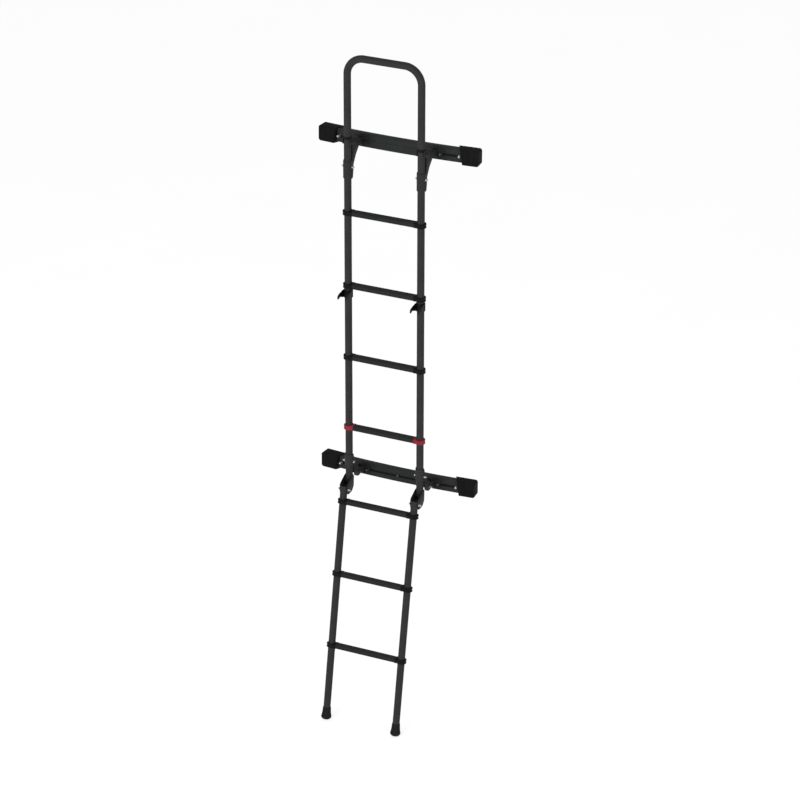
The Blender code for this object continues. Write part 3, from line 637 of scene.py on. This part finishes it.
def beam_mesh():
    half = BEAM_HEIGHT / 2
    front = -BEAM_DEPTH
    lip = front + SLOT_LIP
    floor = front + SLOT_DEPTH
    mouth = SLOT_MOUTH / 2
    channel = SLOT_CHANNEL / 2
    line = 0.0007                # shallow drawn line along the front face
    line_z = half - 0.0075
    corner = 0.0035
    outline = corner_arc(-corner, corner - half, corner, 0)
    outline += corner_arc(front + corner, corner - half, corner, 270)
    outline += [(front, -line_z - line), (front + line * 0.7, -line_z), (front, -line_z + line)]
    outline += [(front, SLOT_Z - mouth - 0.0006), (front + 0.0006, SLOT_Z - mouth), (lip, SLOT_Z - mouth),
                (lip, SLOT_Z - channel), (floor, SLOT_Z - channel), (floor, SLOT_Z + channel),
                (lip, SLOT_Z + channel), (lip, SLOT_Z + mouth), (front + 0.0006, SLOT_Z + mouth),
                (front, SLOT_Z + mouth + 0.0006)]
    outline += [(front, line_z - line), (front + line * 0.7, line_z), (front, line_z + line)]
    outline += corner_arc(front + corner, half - corner, corner, 180)
    outline += corner_arc(-corner, half - corner, corner, 90)
    stations = 48
    sections = []
    for index in range(stations + 1):
        x = -BEAM_HALF_LENGTH + 2 * BEAM_HALF_LENGTH * index / stations
        sections.append([(x, y + beam_sag(x), z) for y, z in outline])
    return loft_mesh("beam", sections)


def build_beams():
    mesh = beam_mesh()
    for level, z in BEAM_Z.items():
        add_piece(f"{level}_beam_extrusion", mesh, "charcoal_beam", "frame", [f"{level}_beam"], shift(z=z))


# ---------------------------------------------------------------- bolts
def hex_mesh(name, low_end, high_end, radius=HEX_RADIUS):
    """Hexagon along Z with chamfered corners."""
    chamfer = radius * 0.12
    profile = [(0, low_end), (radius - chamfer, low_end), (radius, low_end + chamfer * 0.6),
               (radius, high_end - chamfer * 0.6), (radius - chamfer, high_end), (0, high_end)]
    return turned_mesh(name, profile, 6)


def washer_mesh(low_end):
    high_end = low_end + WASHER_THICKNESS
    edge = 0.0003
    profile = [(SHANK_RADIUS, low_end), (WASHER_RADIUS - edge, low_end), (WASHER_RADIUS, low_end + edge),
               (WASHER_RADIUS, high_end - edge), (WASHER_RADIUS - edge, high_end), (SHANK_RADIUS, high_end)]
    return turned_mesh("washer", profile, 32, closed=True)


def thread_mesh(low_end, high_end):
    """Rod end with ridges for its thread and a chamfered tip."""
    pitch = 0.0008
    depth = 0.0004
    profile = [(0, low_end), (SHANK_RADIUS, low_end)]
    height = low_end
    while height + pitch < high_end - depth:
        profile += [(SHANK_RADIUS - depth, height + pitch / 2), (SHANK_RADIUS, height + pitch)]
        height += pitch
    profile += [(SHANK_RADIUS - depth * 1.5, high_end), (0, high_end)]
    return turned_mesh("thread", profile, 24)


def cross_bolt_mesh():
    """Bolt through both cheeks along Z: hexagon head below, nut and thread end above."""
    seat = CHEEK_OUTER + GAP
    face = seat + WASHER_THICKNESS
    shank = turned_mesh("shank", [(0, -seat), (SHANK_RADIUS, -seat), (SHANK_RADIUS, seat), (0, seat)], 24)
    head = hex_mesh("head", -face - 0.0040, -face)
    nut = hex_mesh("nut", face, face + 0.0046)
    washers = [washer_mesh(seat), washer_mesh(-face)]
    thread = thread_mesh(face + 0.0040, face + 0.0090)
    return joined("cross_bolt", [shank, head, nut, thread] + washers)


def slot_bolt_mesh():
    """T-headed bolt with washer and domed nut; +Z points out of the beam's front."""
    head_top = BEAM_DEPTH / 2 - SLOT_LIP - 0.0008
    seat = BEAM_DEPTH / 2 + PLATE + 3 * GAP
    face = seat + WASHER_THICKNESS
    head = block_mesh("head", (-0.0046, -0.0072, head_top - 0.0040), (0.0046, 0.0072, head_top), 0.0008)
    shank_profile = [(0, head_top), (SHANK_RADIUS, head_top), (SHANK_RADIUS, seat), (0, seat)]
    shank = turned_mesh("shank", shank_profile, 24)
    nut = hex_mesh("nut", face, face + 0.0036, HEX_RADIUS * 0.95)
    dome_radius = HEX_RADIUS * 0.74
    dome_base = face + 0.0034
    dome = [(dome_radius * math.cos(math.radians(15 * step)),
             dome_base + dome_radius * 0.8 * math.sin(math.radians(15 * step))) for step in range(7)]
    dome[-1] = (0, dome_base + dome_radius * 0.8)
    cap = turned_mesh("cap", [(0, dome_base)] + dome, 32)
    return joined("slot_bolt", [head, shank, washer_mesh(seat), nut, cap])


def add_cross_bolt(node, mesh, facing, finish="zinc_steel"):
    """Bolt on the CAD bolt's axis; facing is +1 or -1 for the end of X that carries the nut."""
    place = shift(middle(node, X), middle(node, Y), middle(node, Z)) @ turn(facing * math.pi / 2, "Y")
    add_piece(f"{node}_set", mesh, finish, "frame", [node], place)


def slot_bolt_place(x, beam_z):
    return beam_place(x, beam_z + SLOT_Z) @ turn(math.pi / 2, "X")


def build_bolts():
    cross = cross_bolt_mesh()
    slotted = slot_bolt_mesh()
    for side, word in SIDES:
        add_cross_bolt(f"hoop_joint_bolt_{word}", cross, 1, "black_steel")
        add_cross_bolt(f"upper_stile_bolt_{word}", cross, 1)
        add_cross_bolt(f"lower_stile_bolt_{word}", cross, side)
        # Painted shade: the left arm bolt takes the darker copy of the zinc finish, the right one the plain zinc.
        add_cross_bolt(f"lower_arm_bolt_{word}", cross, 1, "zinc_painted_shade" if side < 0 else "zinc_steel")
        add_cross_bolt(f"hinge_bolt_{word}", cross, 1)
        for level, beam_z in BEAM_Z.items():
            x = side * STILE_X
            dark = level == "upper" and side < 0
            # Clamp bolts on the flanges take the darker zinc copy as painted shade; the upper left one is black
            # steel.
            add_piece(f"{level}_clamp_bolt_{word}_set", slotted, "black_steel" if dark else "zinc_painted_shade",
                      "frame", [f"{level}_clamp_bolt_{word}"],
                      slot_bolt_place(x + FLANGE_BOLT_OFFSET, beam_z))
            add_piece(f"{level}_second_clamp_bolt_{word}", slotted, "zinc_painted_shade", "frame",
                      place=slot_bolt_place(x - FLANGE_BOLT_OFFSET, beam_z))
            add_piece(f"{level}_pad_bolt_{word}_set", slotted, "zinc_steel", f"{level}_{word}_pad",
                      [f"{level}_pad_bolt_{word}"], slot_bolt_place(side * PAD_BOLT_X, beam_z))


# ---------------------------------------------------------------- stile brackets
def mm(points):
    """Outline points written in millimetres, as metres."""
    return [(y / 1000, z / 1000) for y, z in points]


UPPER_CHEEK = mm([(-2, -109), (-2, -43), (0, -40), (6, -37), (8, -12), (8, 21), (-7, 24), (-10, 28),
                  (-10, 45), (-7, 48), (10, 50), (54, 38), (60, 32), (62, 8), (59, -3), (36, -25),
                  (15, -58), (13, -88), (9, -108), (6, -112), (0, -112)])
UPPER_EAR = mm([(30, 13), (30, 31), (58, 31), (102, 15), (114, 15), (114, -15), (102, -15), (56, 5)])
UPPER_WEB = mm([(19.2, -50.4), (54.1, 5.7), (51.5, 7.3), (16.7, -48.8)])
LOWER_CHEEK = mm([(-2, -1248), (0, -1246), (2, -1247), (6, -1258), (14, -1288), (31, -1307),
                  (54, -1326), (64, -1338), (65, -1355), (58, -1361), (40, -1360), (17, -1347),
                  (9, -1338), (9, -1301), (0, -1299), (-2, -1297)])
LOWER_EAR = mm([(42, -1357), (40, -1348), (44, -1338), (60, -1334), (102, -1345), (114, -1345),
                (114, -1375), (102, -1375), (60, -1359)])
HINGE_CHEEK = mm([(6, -1337), (-8, -1340), (-44, -1358), (-50, -1365), (-50, -1396), (-45, -1403),
                  (-12, -1401), (4, -1384)])
HINGE_WEB = mm([(4.6, -1355), (3.0, -1383.5), (-12, -1399.5), (-14, -1397.5), (0.2, -1382.5),
                (1.6, -1355)])
UPPER_WRAP = (-0.110, -0.042)
LOWER_WRAP = (-1.297, -1.248)
CLIP_JAW = mm([(-8, -560), (-30, -563), (-48, -566), (-57, -570), (-59, -583), (-50, -584), (-41, -579),
               (-26, -585), (-12, -591), (-6, -591)])


def stile_place(side):
    """Frame on a stile's axis, at the origin's height."""
    return shift(side * STILE_X, STILE_Y)


def plate_pair(name, outline, inner, outer, bolt_places, corner, bevel=0.0004):
    """Two matching plates, one each side of the stile, with bolt holes."""
    outlines = [rounded(outline, corner)] + [circle(y, z, HOLE_RADIUS) for y, z in bolt_places]
    plate = side_plate(name, outlines, inner, outer, bevel)
    return [plate, mirrored_x(plate)]


def bolt_place(node):
    """Y and Z of a cross bolt, from its stile's axis."""
    return (middle(node, Y) - STILE_Y, middle(node, Z))


def flange_mesh(beam_z):
    """Plate with two bolt holes that lies along the beam, in the right stile's frame."""
    outline = rounded_rectangle(2 * FLANGE_HALF_WIDTH, 2 * FLANGE_HALF_HEIGHT, 0.003)
    holes = [circle(side * FLANGE_BOLT_OFFSET, SLOT_Z, HOLE_RADIUS) for side in (-1, 1)]
    plate = flat_mesh("flange", [outline] + holes, PLATE, 0.0004)
    face = -(BEAM_DEPTH / 2 + GAP + PLATE / 2)
    return moved(plate, from_beam(beam_z) @ shift(y=face) @ turn(math.pi / 2, "X"))


def from_beam(beam_z):
    return shift(-STILE_X, -STILE_Y) @ beam_place(STILE_X, beam_z)


def bend_mesh(beam_z, side):
    """Rounded inside corner where an ear turns into the flange."""
    radius = 0.0034
    overlap = 0.0006
    start_x = EAR_OUTER - overlap
    start_y = -(BEAM_DEPTH / 2 + GAP + PLATE) + overlap
    curve = [(start_x + overlap + radius * (1 - math.sin(math.radians(15 * step))),
              start_y - overlap - radius * (1 - math.cos(math.radians(15 * step)))) for step in range(7)]
    outline = [(start_x, start_y)] + [(start_x + overlap + radius, start_y)] + curve
    outline.append((start_x, start_y - overlap - radius))
    sections = [[(side * x, y, z) for x, y in outline] for z in (-0.0140, 0.0140)]
    return moved(loft_mesh("bend", sections), from_beam(beam_z))


def beam_foot_meshes(beam_z, ear, bolt_places):
    """Flange on the beam with an ear bent forwards on each side."""
    ears = plate_pair("ear", ear, EAR_OUTER - PLATE, EAR_OUTER, bolt_places, 0.003)
    bends = [bend_mesh(beam_z, side) for side in (-1, 1)]
    return [flange_mesh(beam_z)] + ears + bends


def half_circle(radius, steps=24):
    """Points of a half circle round the front of a stile, from +X to -X."""
    angles = [-math.pi * step / steps for step in range(steps + 1)]
    return [(radius * math.cos(angle), radius * math.sin(angle)) for angle in angles]


def wrap_mesh(bottom, top):
    """U-shaped band round the front of the stile that joins the two cheeks, with softened edges."""
    outer = CHEEK_OUTER - 0.0002
    inner = CHEEK_INNER + 0.0002
    overlap = 0.004
    edge = 0.0006
    sections = []
    for z, inset in ((bottom, edge), (bottom + edge, 0), (top - edge, 0), (top, edge)):
        outline = [(outer - inset, overlap)] + half_circle(outer - inset) + [(inset - outer, overlap)]
        outline += [(-inner, overlap)] + half_circle(inner)[::-1] + [(inner, overlap)]
        sections.append([(x, y, z) for x, y in outline])
    return loft_mesh("wrap", sections)


def upper_bracket_mesh():
    places = [bolt_place("hoop_joint_bolt_right"), bolt_place("upper_stile_bolt_right")]
    cheeks = plate_pair("cheek", UPPER_CHEEK, CHEEK_INNER, CHEEK_OUTER, places, 0.004)
    reach = CHEEK_INNER + 0.001
    web = side_plate("web", [rounded(UPPER_WEB, 0.002)], -reach, reach)
    foot = beam_foot_meshes(BEAM_Z["upper"], UPPER_EAR, [])
    return joined("upper_bracket", foot + cheeks + [web])


def arm_sleeve_mesh():
    """Spacer round the arm bolt, between the ears."""
    y, z = bolt_place("lower_arm_bolt_right")
    reach = EAR_OUTER - PLATE - GAP
    bore = SHANK_RADIUS + GAP
    profile = [(bore, -reach), (0.0066, -reach), (0.0066, reach), (bore, reach)]
    sleeve = turned_mesh("sleeve", profile, 32, closed=True)
    return moved(sleeve, shift(y=y, z=z) @ turn(math.pi / 2, "Y"))


def build_brackets():
    arm = bolt_place("lower_arm_bolt_right")
    arm_places = [bolt_place("lower_stile_bolt_right"), arm]
    upper = upper_bracket_mesh()
    plates = plate_pair("arm", LOWER_CHEEK, CHEEK_INNER, CHEEK_OUTER, arm_places, 0.006)
    plates = joined("arm_plates", plates)
    bands = {"upper": wrap_mesh(*UPPER_WRAP), "lower": wrap_mesh(*LOWER_WRAP)}
    foot = joined("beam_foot", beam_foot_meshes(BEAM_Z["lower"], LOWER_EAR, [arm]) + [arm_sleeve_mesh()])
    for side, word in SIDES:
        place = stile_place(side)
        pieces = ((f"upper_bracket_{word}_plate", upper, "upper"),
                  (f"lower_arm_plates_{word}", plates, "lower"),
                  (f"lower_beam_foot_{word}", foot, "lower"))
        for name, mesh, level in pieces:
            handed = mesh if side > 0 else mirrored_x(mesh)
            add_piece(name, handed, "black_steel", "frame", [f"{level}_bracket_{word}"], place)
        # The bands take the lighter copy of the bracket finish: painted light, since band and cheeks are one
        # plate.
        for level, band in bands.items():
            add_piece(f"{level}_bracket_{word}_band", band, "band_steel_painted_light", "frame",
                      [f"{level}_bracket_{word}"], place)


# ---------------------------------------------------------------- fold hinges and stowing clips
def hinge_mesh():
    """Channel with rounded cheeks, a saddle under the upper stile's foot and a stop for the lower stile."""
    bolt = bolt_place("hinge_bolt_right")
    cheeks = plate_pair("cheek", HINGE_CHEEK, CHEEK_INNER, CHEEK_OUTER, [bolt], 0.0055)
    reach = CHEEK_INNER + 0.001
    web = side_plate("web", [rounded(HINGE_WEB, 0.002)], -reach, reach)
    top = STILE_FOOT - GAP
    bridge = block_mesh("bridge", (-reach, -0.010, top - 0.012), (reach, 0.003, top))
    plug_radius = TUBE_RADIUS - TUBE_WALL - GAP
    plug = turned_mesh("plug", [(0, top - 0.001), (plug_radius, top - 0.001), (plug_radius, top + 0.035),
                                (plug_radius - 0.001, top + 0.036), (0, top + 0.036)], 40)
    stop = block_mesh("stop", (-reach, TUBE_RADIUS + GAP, -0.0200),
                      (reach, TUBE_RADIUS + GAP + 0.004, -0.0128))
    lean = shift(y=bolt[0], z=bolt[1]) @ turn(-TILT, "X")
    return combined("hinge", [bridge, plug, web, moved(stop, lean)] + cheeks, "UNION")


def clip_mesh():
    """Moulded ring with two hooked jaws for the folded stile."""
    bottom = low("stow_clip_right", Z)
    ring_top = -0.560
    bore = TUBE_RADIUS + GAP
    outer = 0.0178
    edge = 0.0010
    profile = [(bore, bottom), (outer - edge, bottom), (outer - edge * 0.3, bottom + edge * 0.3),
               (outer, bottom + edge), (outer, ring_top - edge), (outer - edge * 0.3, ring_top - edge * 0.3),
               (outer - edge, ring_top), (bore, ring_top)]
    ring = turned_mesh("ring", profile, 56, closed=True)
    inner = TUBE_RADIUS + 2 * GAP
    jaws = plate_pair("jaw", CLIP_JAW, inner, inner + 0.0034, [], 0.0030, 0.0008)
    lip = block_mesh("lip", (inner - 0.0012, -0.0576, -0.5810), (inner + 0.0016, -0.0548, -0.5725), 0.0005)
    tunnel = turned_mesh("tunnel", [(0, bottom - 0.01), (bore, bottom - 0.01), (bore, -0.54), (0, -0.54)], 56)
    body = combined("clip", [ring] + jaws + [lip, mirrored_x(lip)], "UNION")
    return combined("clip", [body, tunnel], "DIFFERENCE")


def build_hinges_and_clips():
    hinge = hinge_mesh()
    clip = clip_mesh()
    for side, word in SIDES:
        add_piece(f"hinge_{word}_body", hinge, "black_steel", "frame", [f"hinge_bracket_{word}"],
                  stile_place(side))
        add_piece(f"stow_clip_{word}_moulding", clip, "black_plastic", "frame", [f"stow_clip_{word}"],
                  stile_place(side))


# ---------------------------------------------------------------- feet
def foot_mesh():
    """Flared rubber foot with grip rings round its skirt and under its sole; the sole is at height 0."""
    bore = TUBE_RADIUS + GAP
    skirt = [(0.0150, 0.0022), (0.0172, 0.0036), (0.0190, 0.0064), (0.0203, 0.0098), (0.0205, 0.0122),
             (0.0199, 0.0140)]
    rings = []
    for step in range(3):
        height = 0.0145 + step * 0.0030
        radius = 0.0194 - step * 0.0005
        rings += [(radius, height), (radius - 0.0006, height + 0.0005), (radius - 0.0006, height + 0.0012),
                  (radius - 0.0001, height + 0.0017)]
    sleeve = [(0.0174, 0.0260), (0.0166, 0.0360), (0.0161, 0.0440), (0.0160, 0.0480), (0.0157, 0.0494),
              (0.0152, FOOT_HEIGHT)]
    socket = [(bore + 0.0004, FOOT_HEIGHT), (bore, FOOT_HEIGHT - 0.0006), (bore, 0.0117), (0, 0.0117)]
    sole = [(0, 0.0016)]
    for radius in (0.0035, 0.0075, 0.0115):
        sole += [(radius, 0.0016), (radius + 0.0004, 0.0010), (radius + 0.0024, 0.0010),
                 (radius + 0.0028, 0.0016)]
    return turned_mesh("foot", sole + skirt + rings + sleeve + socket, 56)


def build_feet():
    mesh = foot_mesh()
    for side, word in SIDES:
        add_piece(f"foot_{word}_boot", mesh, "foot_rubber", "lower_section", [f"foot_{word}"],
                  LEAN @ shift(side * STILE_X, z=-LOWER_LENGTH))


# ---------------------------------------------------------------- end pads
def pad_section(x):
    """Rounded outline of the boot across the beam at x, smaller towards its outer end."""
    half = PAD_HALF_HEIGHT
    into_corner = min(max(x - (PAD_OUTER - PAD_CORNER), 0), PAD_CORNER)
    into_edge = min(max(x - (PAD_OUTER - PAD_EDGE), 0), PAD_EDGE)
    inset_z = PAD_CORNER - math.sqrt(PAD_CORNER ** 2 - into_corner ** 2)
    inset_y = (PAD_EDGE - math.sqrt(PAD_EDGE ** 2 - into_edge ** 2)) * 0.8
    centre = (PAD_BACK - PAD_FRONT) / 2
    depth = PAD_FRONT + PAD_BACK - 2 * inset_y
    points = []
    for y, z in rounded_rectangle(depth, 2 * (half - inset_z), PAD_EDGE - 0.001, 5):
        crown = PAD_CROWN * (1 - (z / half) ** 2) if y < 0 else 0
        points.append((x, centre + y - crown, z))
    return points


def pad_mesh():
    """Rubber boot for the +X end of a beam, with a slanted mouth and a tongue under its bolt."""
    start = PAD_OUTER - PAD_CORNER
    stations = [-0.062, -0.040, -0.020, 0.0, start]
    stations += [start + PAD_CORNER * math.sin(math.radians(7.5 * step)) for step in range(1, 13)]
    body = loft_mesh("pad", [pad_section(x) for x in stations])
    mouth = [Vector((-0.0365, -PAD_FRONT, PAD_HALF_HEIGHT)), Vector((-0.0285, -PAD_FRONT, -PAD_HALF_HEIGHT)),
             Vector((-0.0500, PAD_BACK, 0))]
    across_mouth = (mouth[1] - mouth[0]).cross(mouth[2] - mouth[0]).normalized()
    bm = bmesh.new()
    bm.from_mesh(body)
    cut = bmesh.ops.bisect_plane(bm, geom=bm.verts[:] + bm.edges[:] + bm.faces[:], plane_co=mouth[0],
                                 plane_no=across_mouth, clear_inner=across_mouth.x > 0,
                                 clear_outer=across_mouth.x < 0)
    rim = [item for item in cut["geom_cut"] if isinstance(item, bmesh.types.BMEdge)]
    bmesh.ops.holes_fill(bm, edges=rim)
    body = mesh_from(bm, "pad")
    face = BEAM_DEPTH / 2 + 0.0010
    tall = BEAM_HEIGHT / 2 + 0.0006
    cavity = block_mesh("cavity", (-0.10, -face, -tall), (0.022, face, tall), 0.002)
    boot = bevelled(combined("pad", [body, cavity], "DIFFERENCE"), 0.0008)
    return joined("pad", [boot, tongue_mesh()])


def bevelled(mesh, width):
    """The mesh with its sharp edges rounded off."""
    helper = bpy.data.objects.new(mesh.name, mesh)
    bpy.context.scene.collection.objects.link(helper)
    modifier = helper.modifiers.new("edges", "BEVEL")
    modifier.limit_method = "ANGLE"
    modifier.angle_limit = math.radians(45)
    modifier.width = width
    modifier.segments = 2
    result = bpy.data.meshes.new_from_object(helper.evaluated_get(bpy.context.evaluated_depsgraph_get()))
    bpy.data.objects.remove(helper)
    return result


def tongue_mesh():
    """Tab from the boot's front wall, its tip rounded to pass under the pad bolt's washer."""
    tip = -0.0393
    root = -0.0260
    outline = rounded([(tip, -0.006), (root, -0.006), (root, 0.006), (tip, 0.006)], 0.003)
    tab = flat_mesh("tongue", [outline], 0.0020, 0.0005)
    return moved(tab, shift(y=0.0010 - TONGUE_FRONT, z=SLOT_Z) @ turn(math.pi / 2, "X"))


def build_pads():
    right = pad_mesh()
    left = mirrored_x(right)
    for level, beam_z in BEAM_Z.items():
        for side, word in SIDES:
            add_piece(f"{level}_pad_{word}_boot", right if side > 0 else left, "black_rubber",
                      f"{level}_{word}_pad", [f"{level}_pad_{word}"], beam_place(side * PAD_X, beam_z))


# ---------------------------------------------------------------- small pieces in the beam slots
def build_slot_cover():
    """Snap-in strip that covers the upper beam's slot between the brackets."""
    low_x = -0.1165
    high_x = 0.086
    base = -BEAM_DEPTH - 0.0001
    face = base - 0.0009
    outline = [(base, -0.0105), (face, -0.0100), (face, 0.0045), (base, 0.0050)]
    sections = []
    for step in range(25):
        x = low_x + (high_x - low_x) * step / 24
        sections.append([(x, y + beam_sag(x), z + SLOT_Z) for y, z in outline])
    add_piece("upper_slot_cover", loft_mesh("cover", sections), "charcoal_beam", "frame",
              place=shift(z=BEAM_Z["upper"]))


def build_centre_screw():
    """Small pan-head screw in the middle of the lower beam's slot."""
    height = 0.0022
    profile = [(0, 0), (0.0044, 0), (0.0044, height * 0.5), (0.0038, height * 0.85), (0.0022, height),
               (0.0022, height * 0.4),
               (0, height * 0.4)]
    screw = turned_mesh("screw", profile, 32)
    place = beam_place(0.002, BEAM_Z["lower"] + SLOT_Z) @ shift(y=-BEAM_DEPTH / 2 + 0.0004)
    # The screw in the slot takes the darker zinc copy: painted shade.
    add_piece("lower_slot_screw", screw, "zinc_painted_shade", "frame", place=place @ turn(math.pi / 2, "X"))


# ---------------------------------------------------------------- scene
def build_stage():
    floor_z = cad_bounds[0].z - 0.0005
    bm = bmesh.new()
    bmesh.ops.create_grid(bm, x_segments=1, y_segments=1, size=60.0)
    mesh = mesh_from(bm, "floor")
    material, tree, shader = new_finish("pale_floor")
    tone = noise(tree, object_space(tree), 2.0, 4.0)
    colour = mix_colour(tree, tone, (0.30, 0.30, 0.30, 1), (0.32, 0.32, 0.32, 1))
    tree.links.new(colour, shader.inputs["Base Color"])
    shader.inputs["Roughness"].default_value = 0.9
    shader.inputs["Specular IOR Level"].default_value = 0.1
    shader.inputs["Emission Color"].default_value = (1.0, 1.0, 1.0, 1.0)
    shader.inputs["Emission Strength"].default_value = 0.76
    behind = add_node(tree, "ShaderNodeNewGeometry").outputs["Backfacing"]
    clear = add_node(tree, "ShaderNodeBsdfTransparent").outputs[0]
    mixed = add_node(tree, "ShaderNodeMixShader", {0: behind, 1: shader.outputs[0], 2: clear}).outputs[0]
    tree.links.new(mixed, tree.nodes["Material Output"].inputs["Surface"])
    mesh.materials.append(material)
    floor = bpy.data.objects.new("floor", mesh)
    floor.location = (0, 0, floor_z)
    bpy.context.scene.collection.objects.link(floor)


def aim(thing, target):
    direction = Vector(target) - thing.location
    thing.rotation_euler = direction.to_track_quat("-Z", "Y").to_euler()


def add_area_light(name, location, target, size, power):
    data = bpy.data.lights.new(name, "AREA")
    data.shape = "RECTANGLE"
    data.size, data.size_y = size
    data.energy = power
    light = bpy.data.objects.new(name, data)
    light.location = location
    bpy.context.scene.collection.objects.link(light)
    aim(light, target)


def build_lights():
    centre = (0, -0.1, -1.0)
    add_area_light("key", (-1.2, -7.6, 2.2), centre, (4.0, 4.5), 330)
    add_area_light("fill", (6.0, -5.0, 0.6), centre, (2.5, 4.0), 120)
    add_area_light("top", (0.5, 1.0, 5.5), centre, (5.0, 5.0), 25)
    world = bpy.data.worlds.new("studio")
    world.use_nodes = True
    background = world.node_tree.nodes["Background"]
    background.inputs["Color"].default_value = (1.0, 1.0, 1.0, 1.0)
    background.inputs["Strength"].default_value = 0.62
    bpy.context.scene.world = world
    bpy.context.scene.view_settings.view_transform = "Standard"


def build_camera():
    """Long lens from the front right and above, aimed a little off the ladder's own middle."""
    azimuth = math.radians(25.264)
    elevation = math.radians(25.369)
    roll = math.radians(0.106)
    back = Vector((math.sin(azimuth) * math.cos(elevation), -math.cos(azimuth) * math.cos(elevation),
                   math.sin(elevation)))
    right = Vector((math.cos(azimuth), math.sin(azimuth), 0))
    up = back.cross(right)
    camera_x = right * math.cos(roll) + up * math.sin(roll)
    camera_y = up * math.cos(roll) - right * math.sin(roll)
    place = camera_x * 0.0583 - camera_y * 0.5419 + back * 12.445 + Vector((0, -0.135, -0.391))
    data = bpy.data.cameras.new("camera")
    data.sensor_width = 36.0
    data.lens = 150.5
    data.clip_end = 200.0
    camera = bpy.data.objects.new("camera", data)
    axes = Matrix((camera_x, camera_y, back)).transposed().to_4x4()
    camera.matrix_world = Matrix.Translation(place) @ axes
    bpy.context.scene.collection.objects.link(camera)
    bpy.context.scene.camera = camera


def paint_cad_nodes():
    """CAD nodes that stay visible take the same finishes as the new pieces."""
    slots = {part["node"]: part["material_slot"] for part in frame["record"]["subparts"]}
    for name, node in frame["nodes"].items():
        if node.hide_render:
            continue
        node.data.materials.clear()
        node.data.materials.append(finishes[slots[name]])


build_hoop()
build_stiles()
build_rungs()
build_beams()
build_bolts()
build_brackets()
build_hinges_and_clips()
build_feet()
build_pads()
build_slot_cover()
build_centre_screw()
paint_cad_nodes()
build_stage()
build_lights()
build_camera()
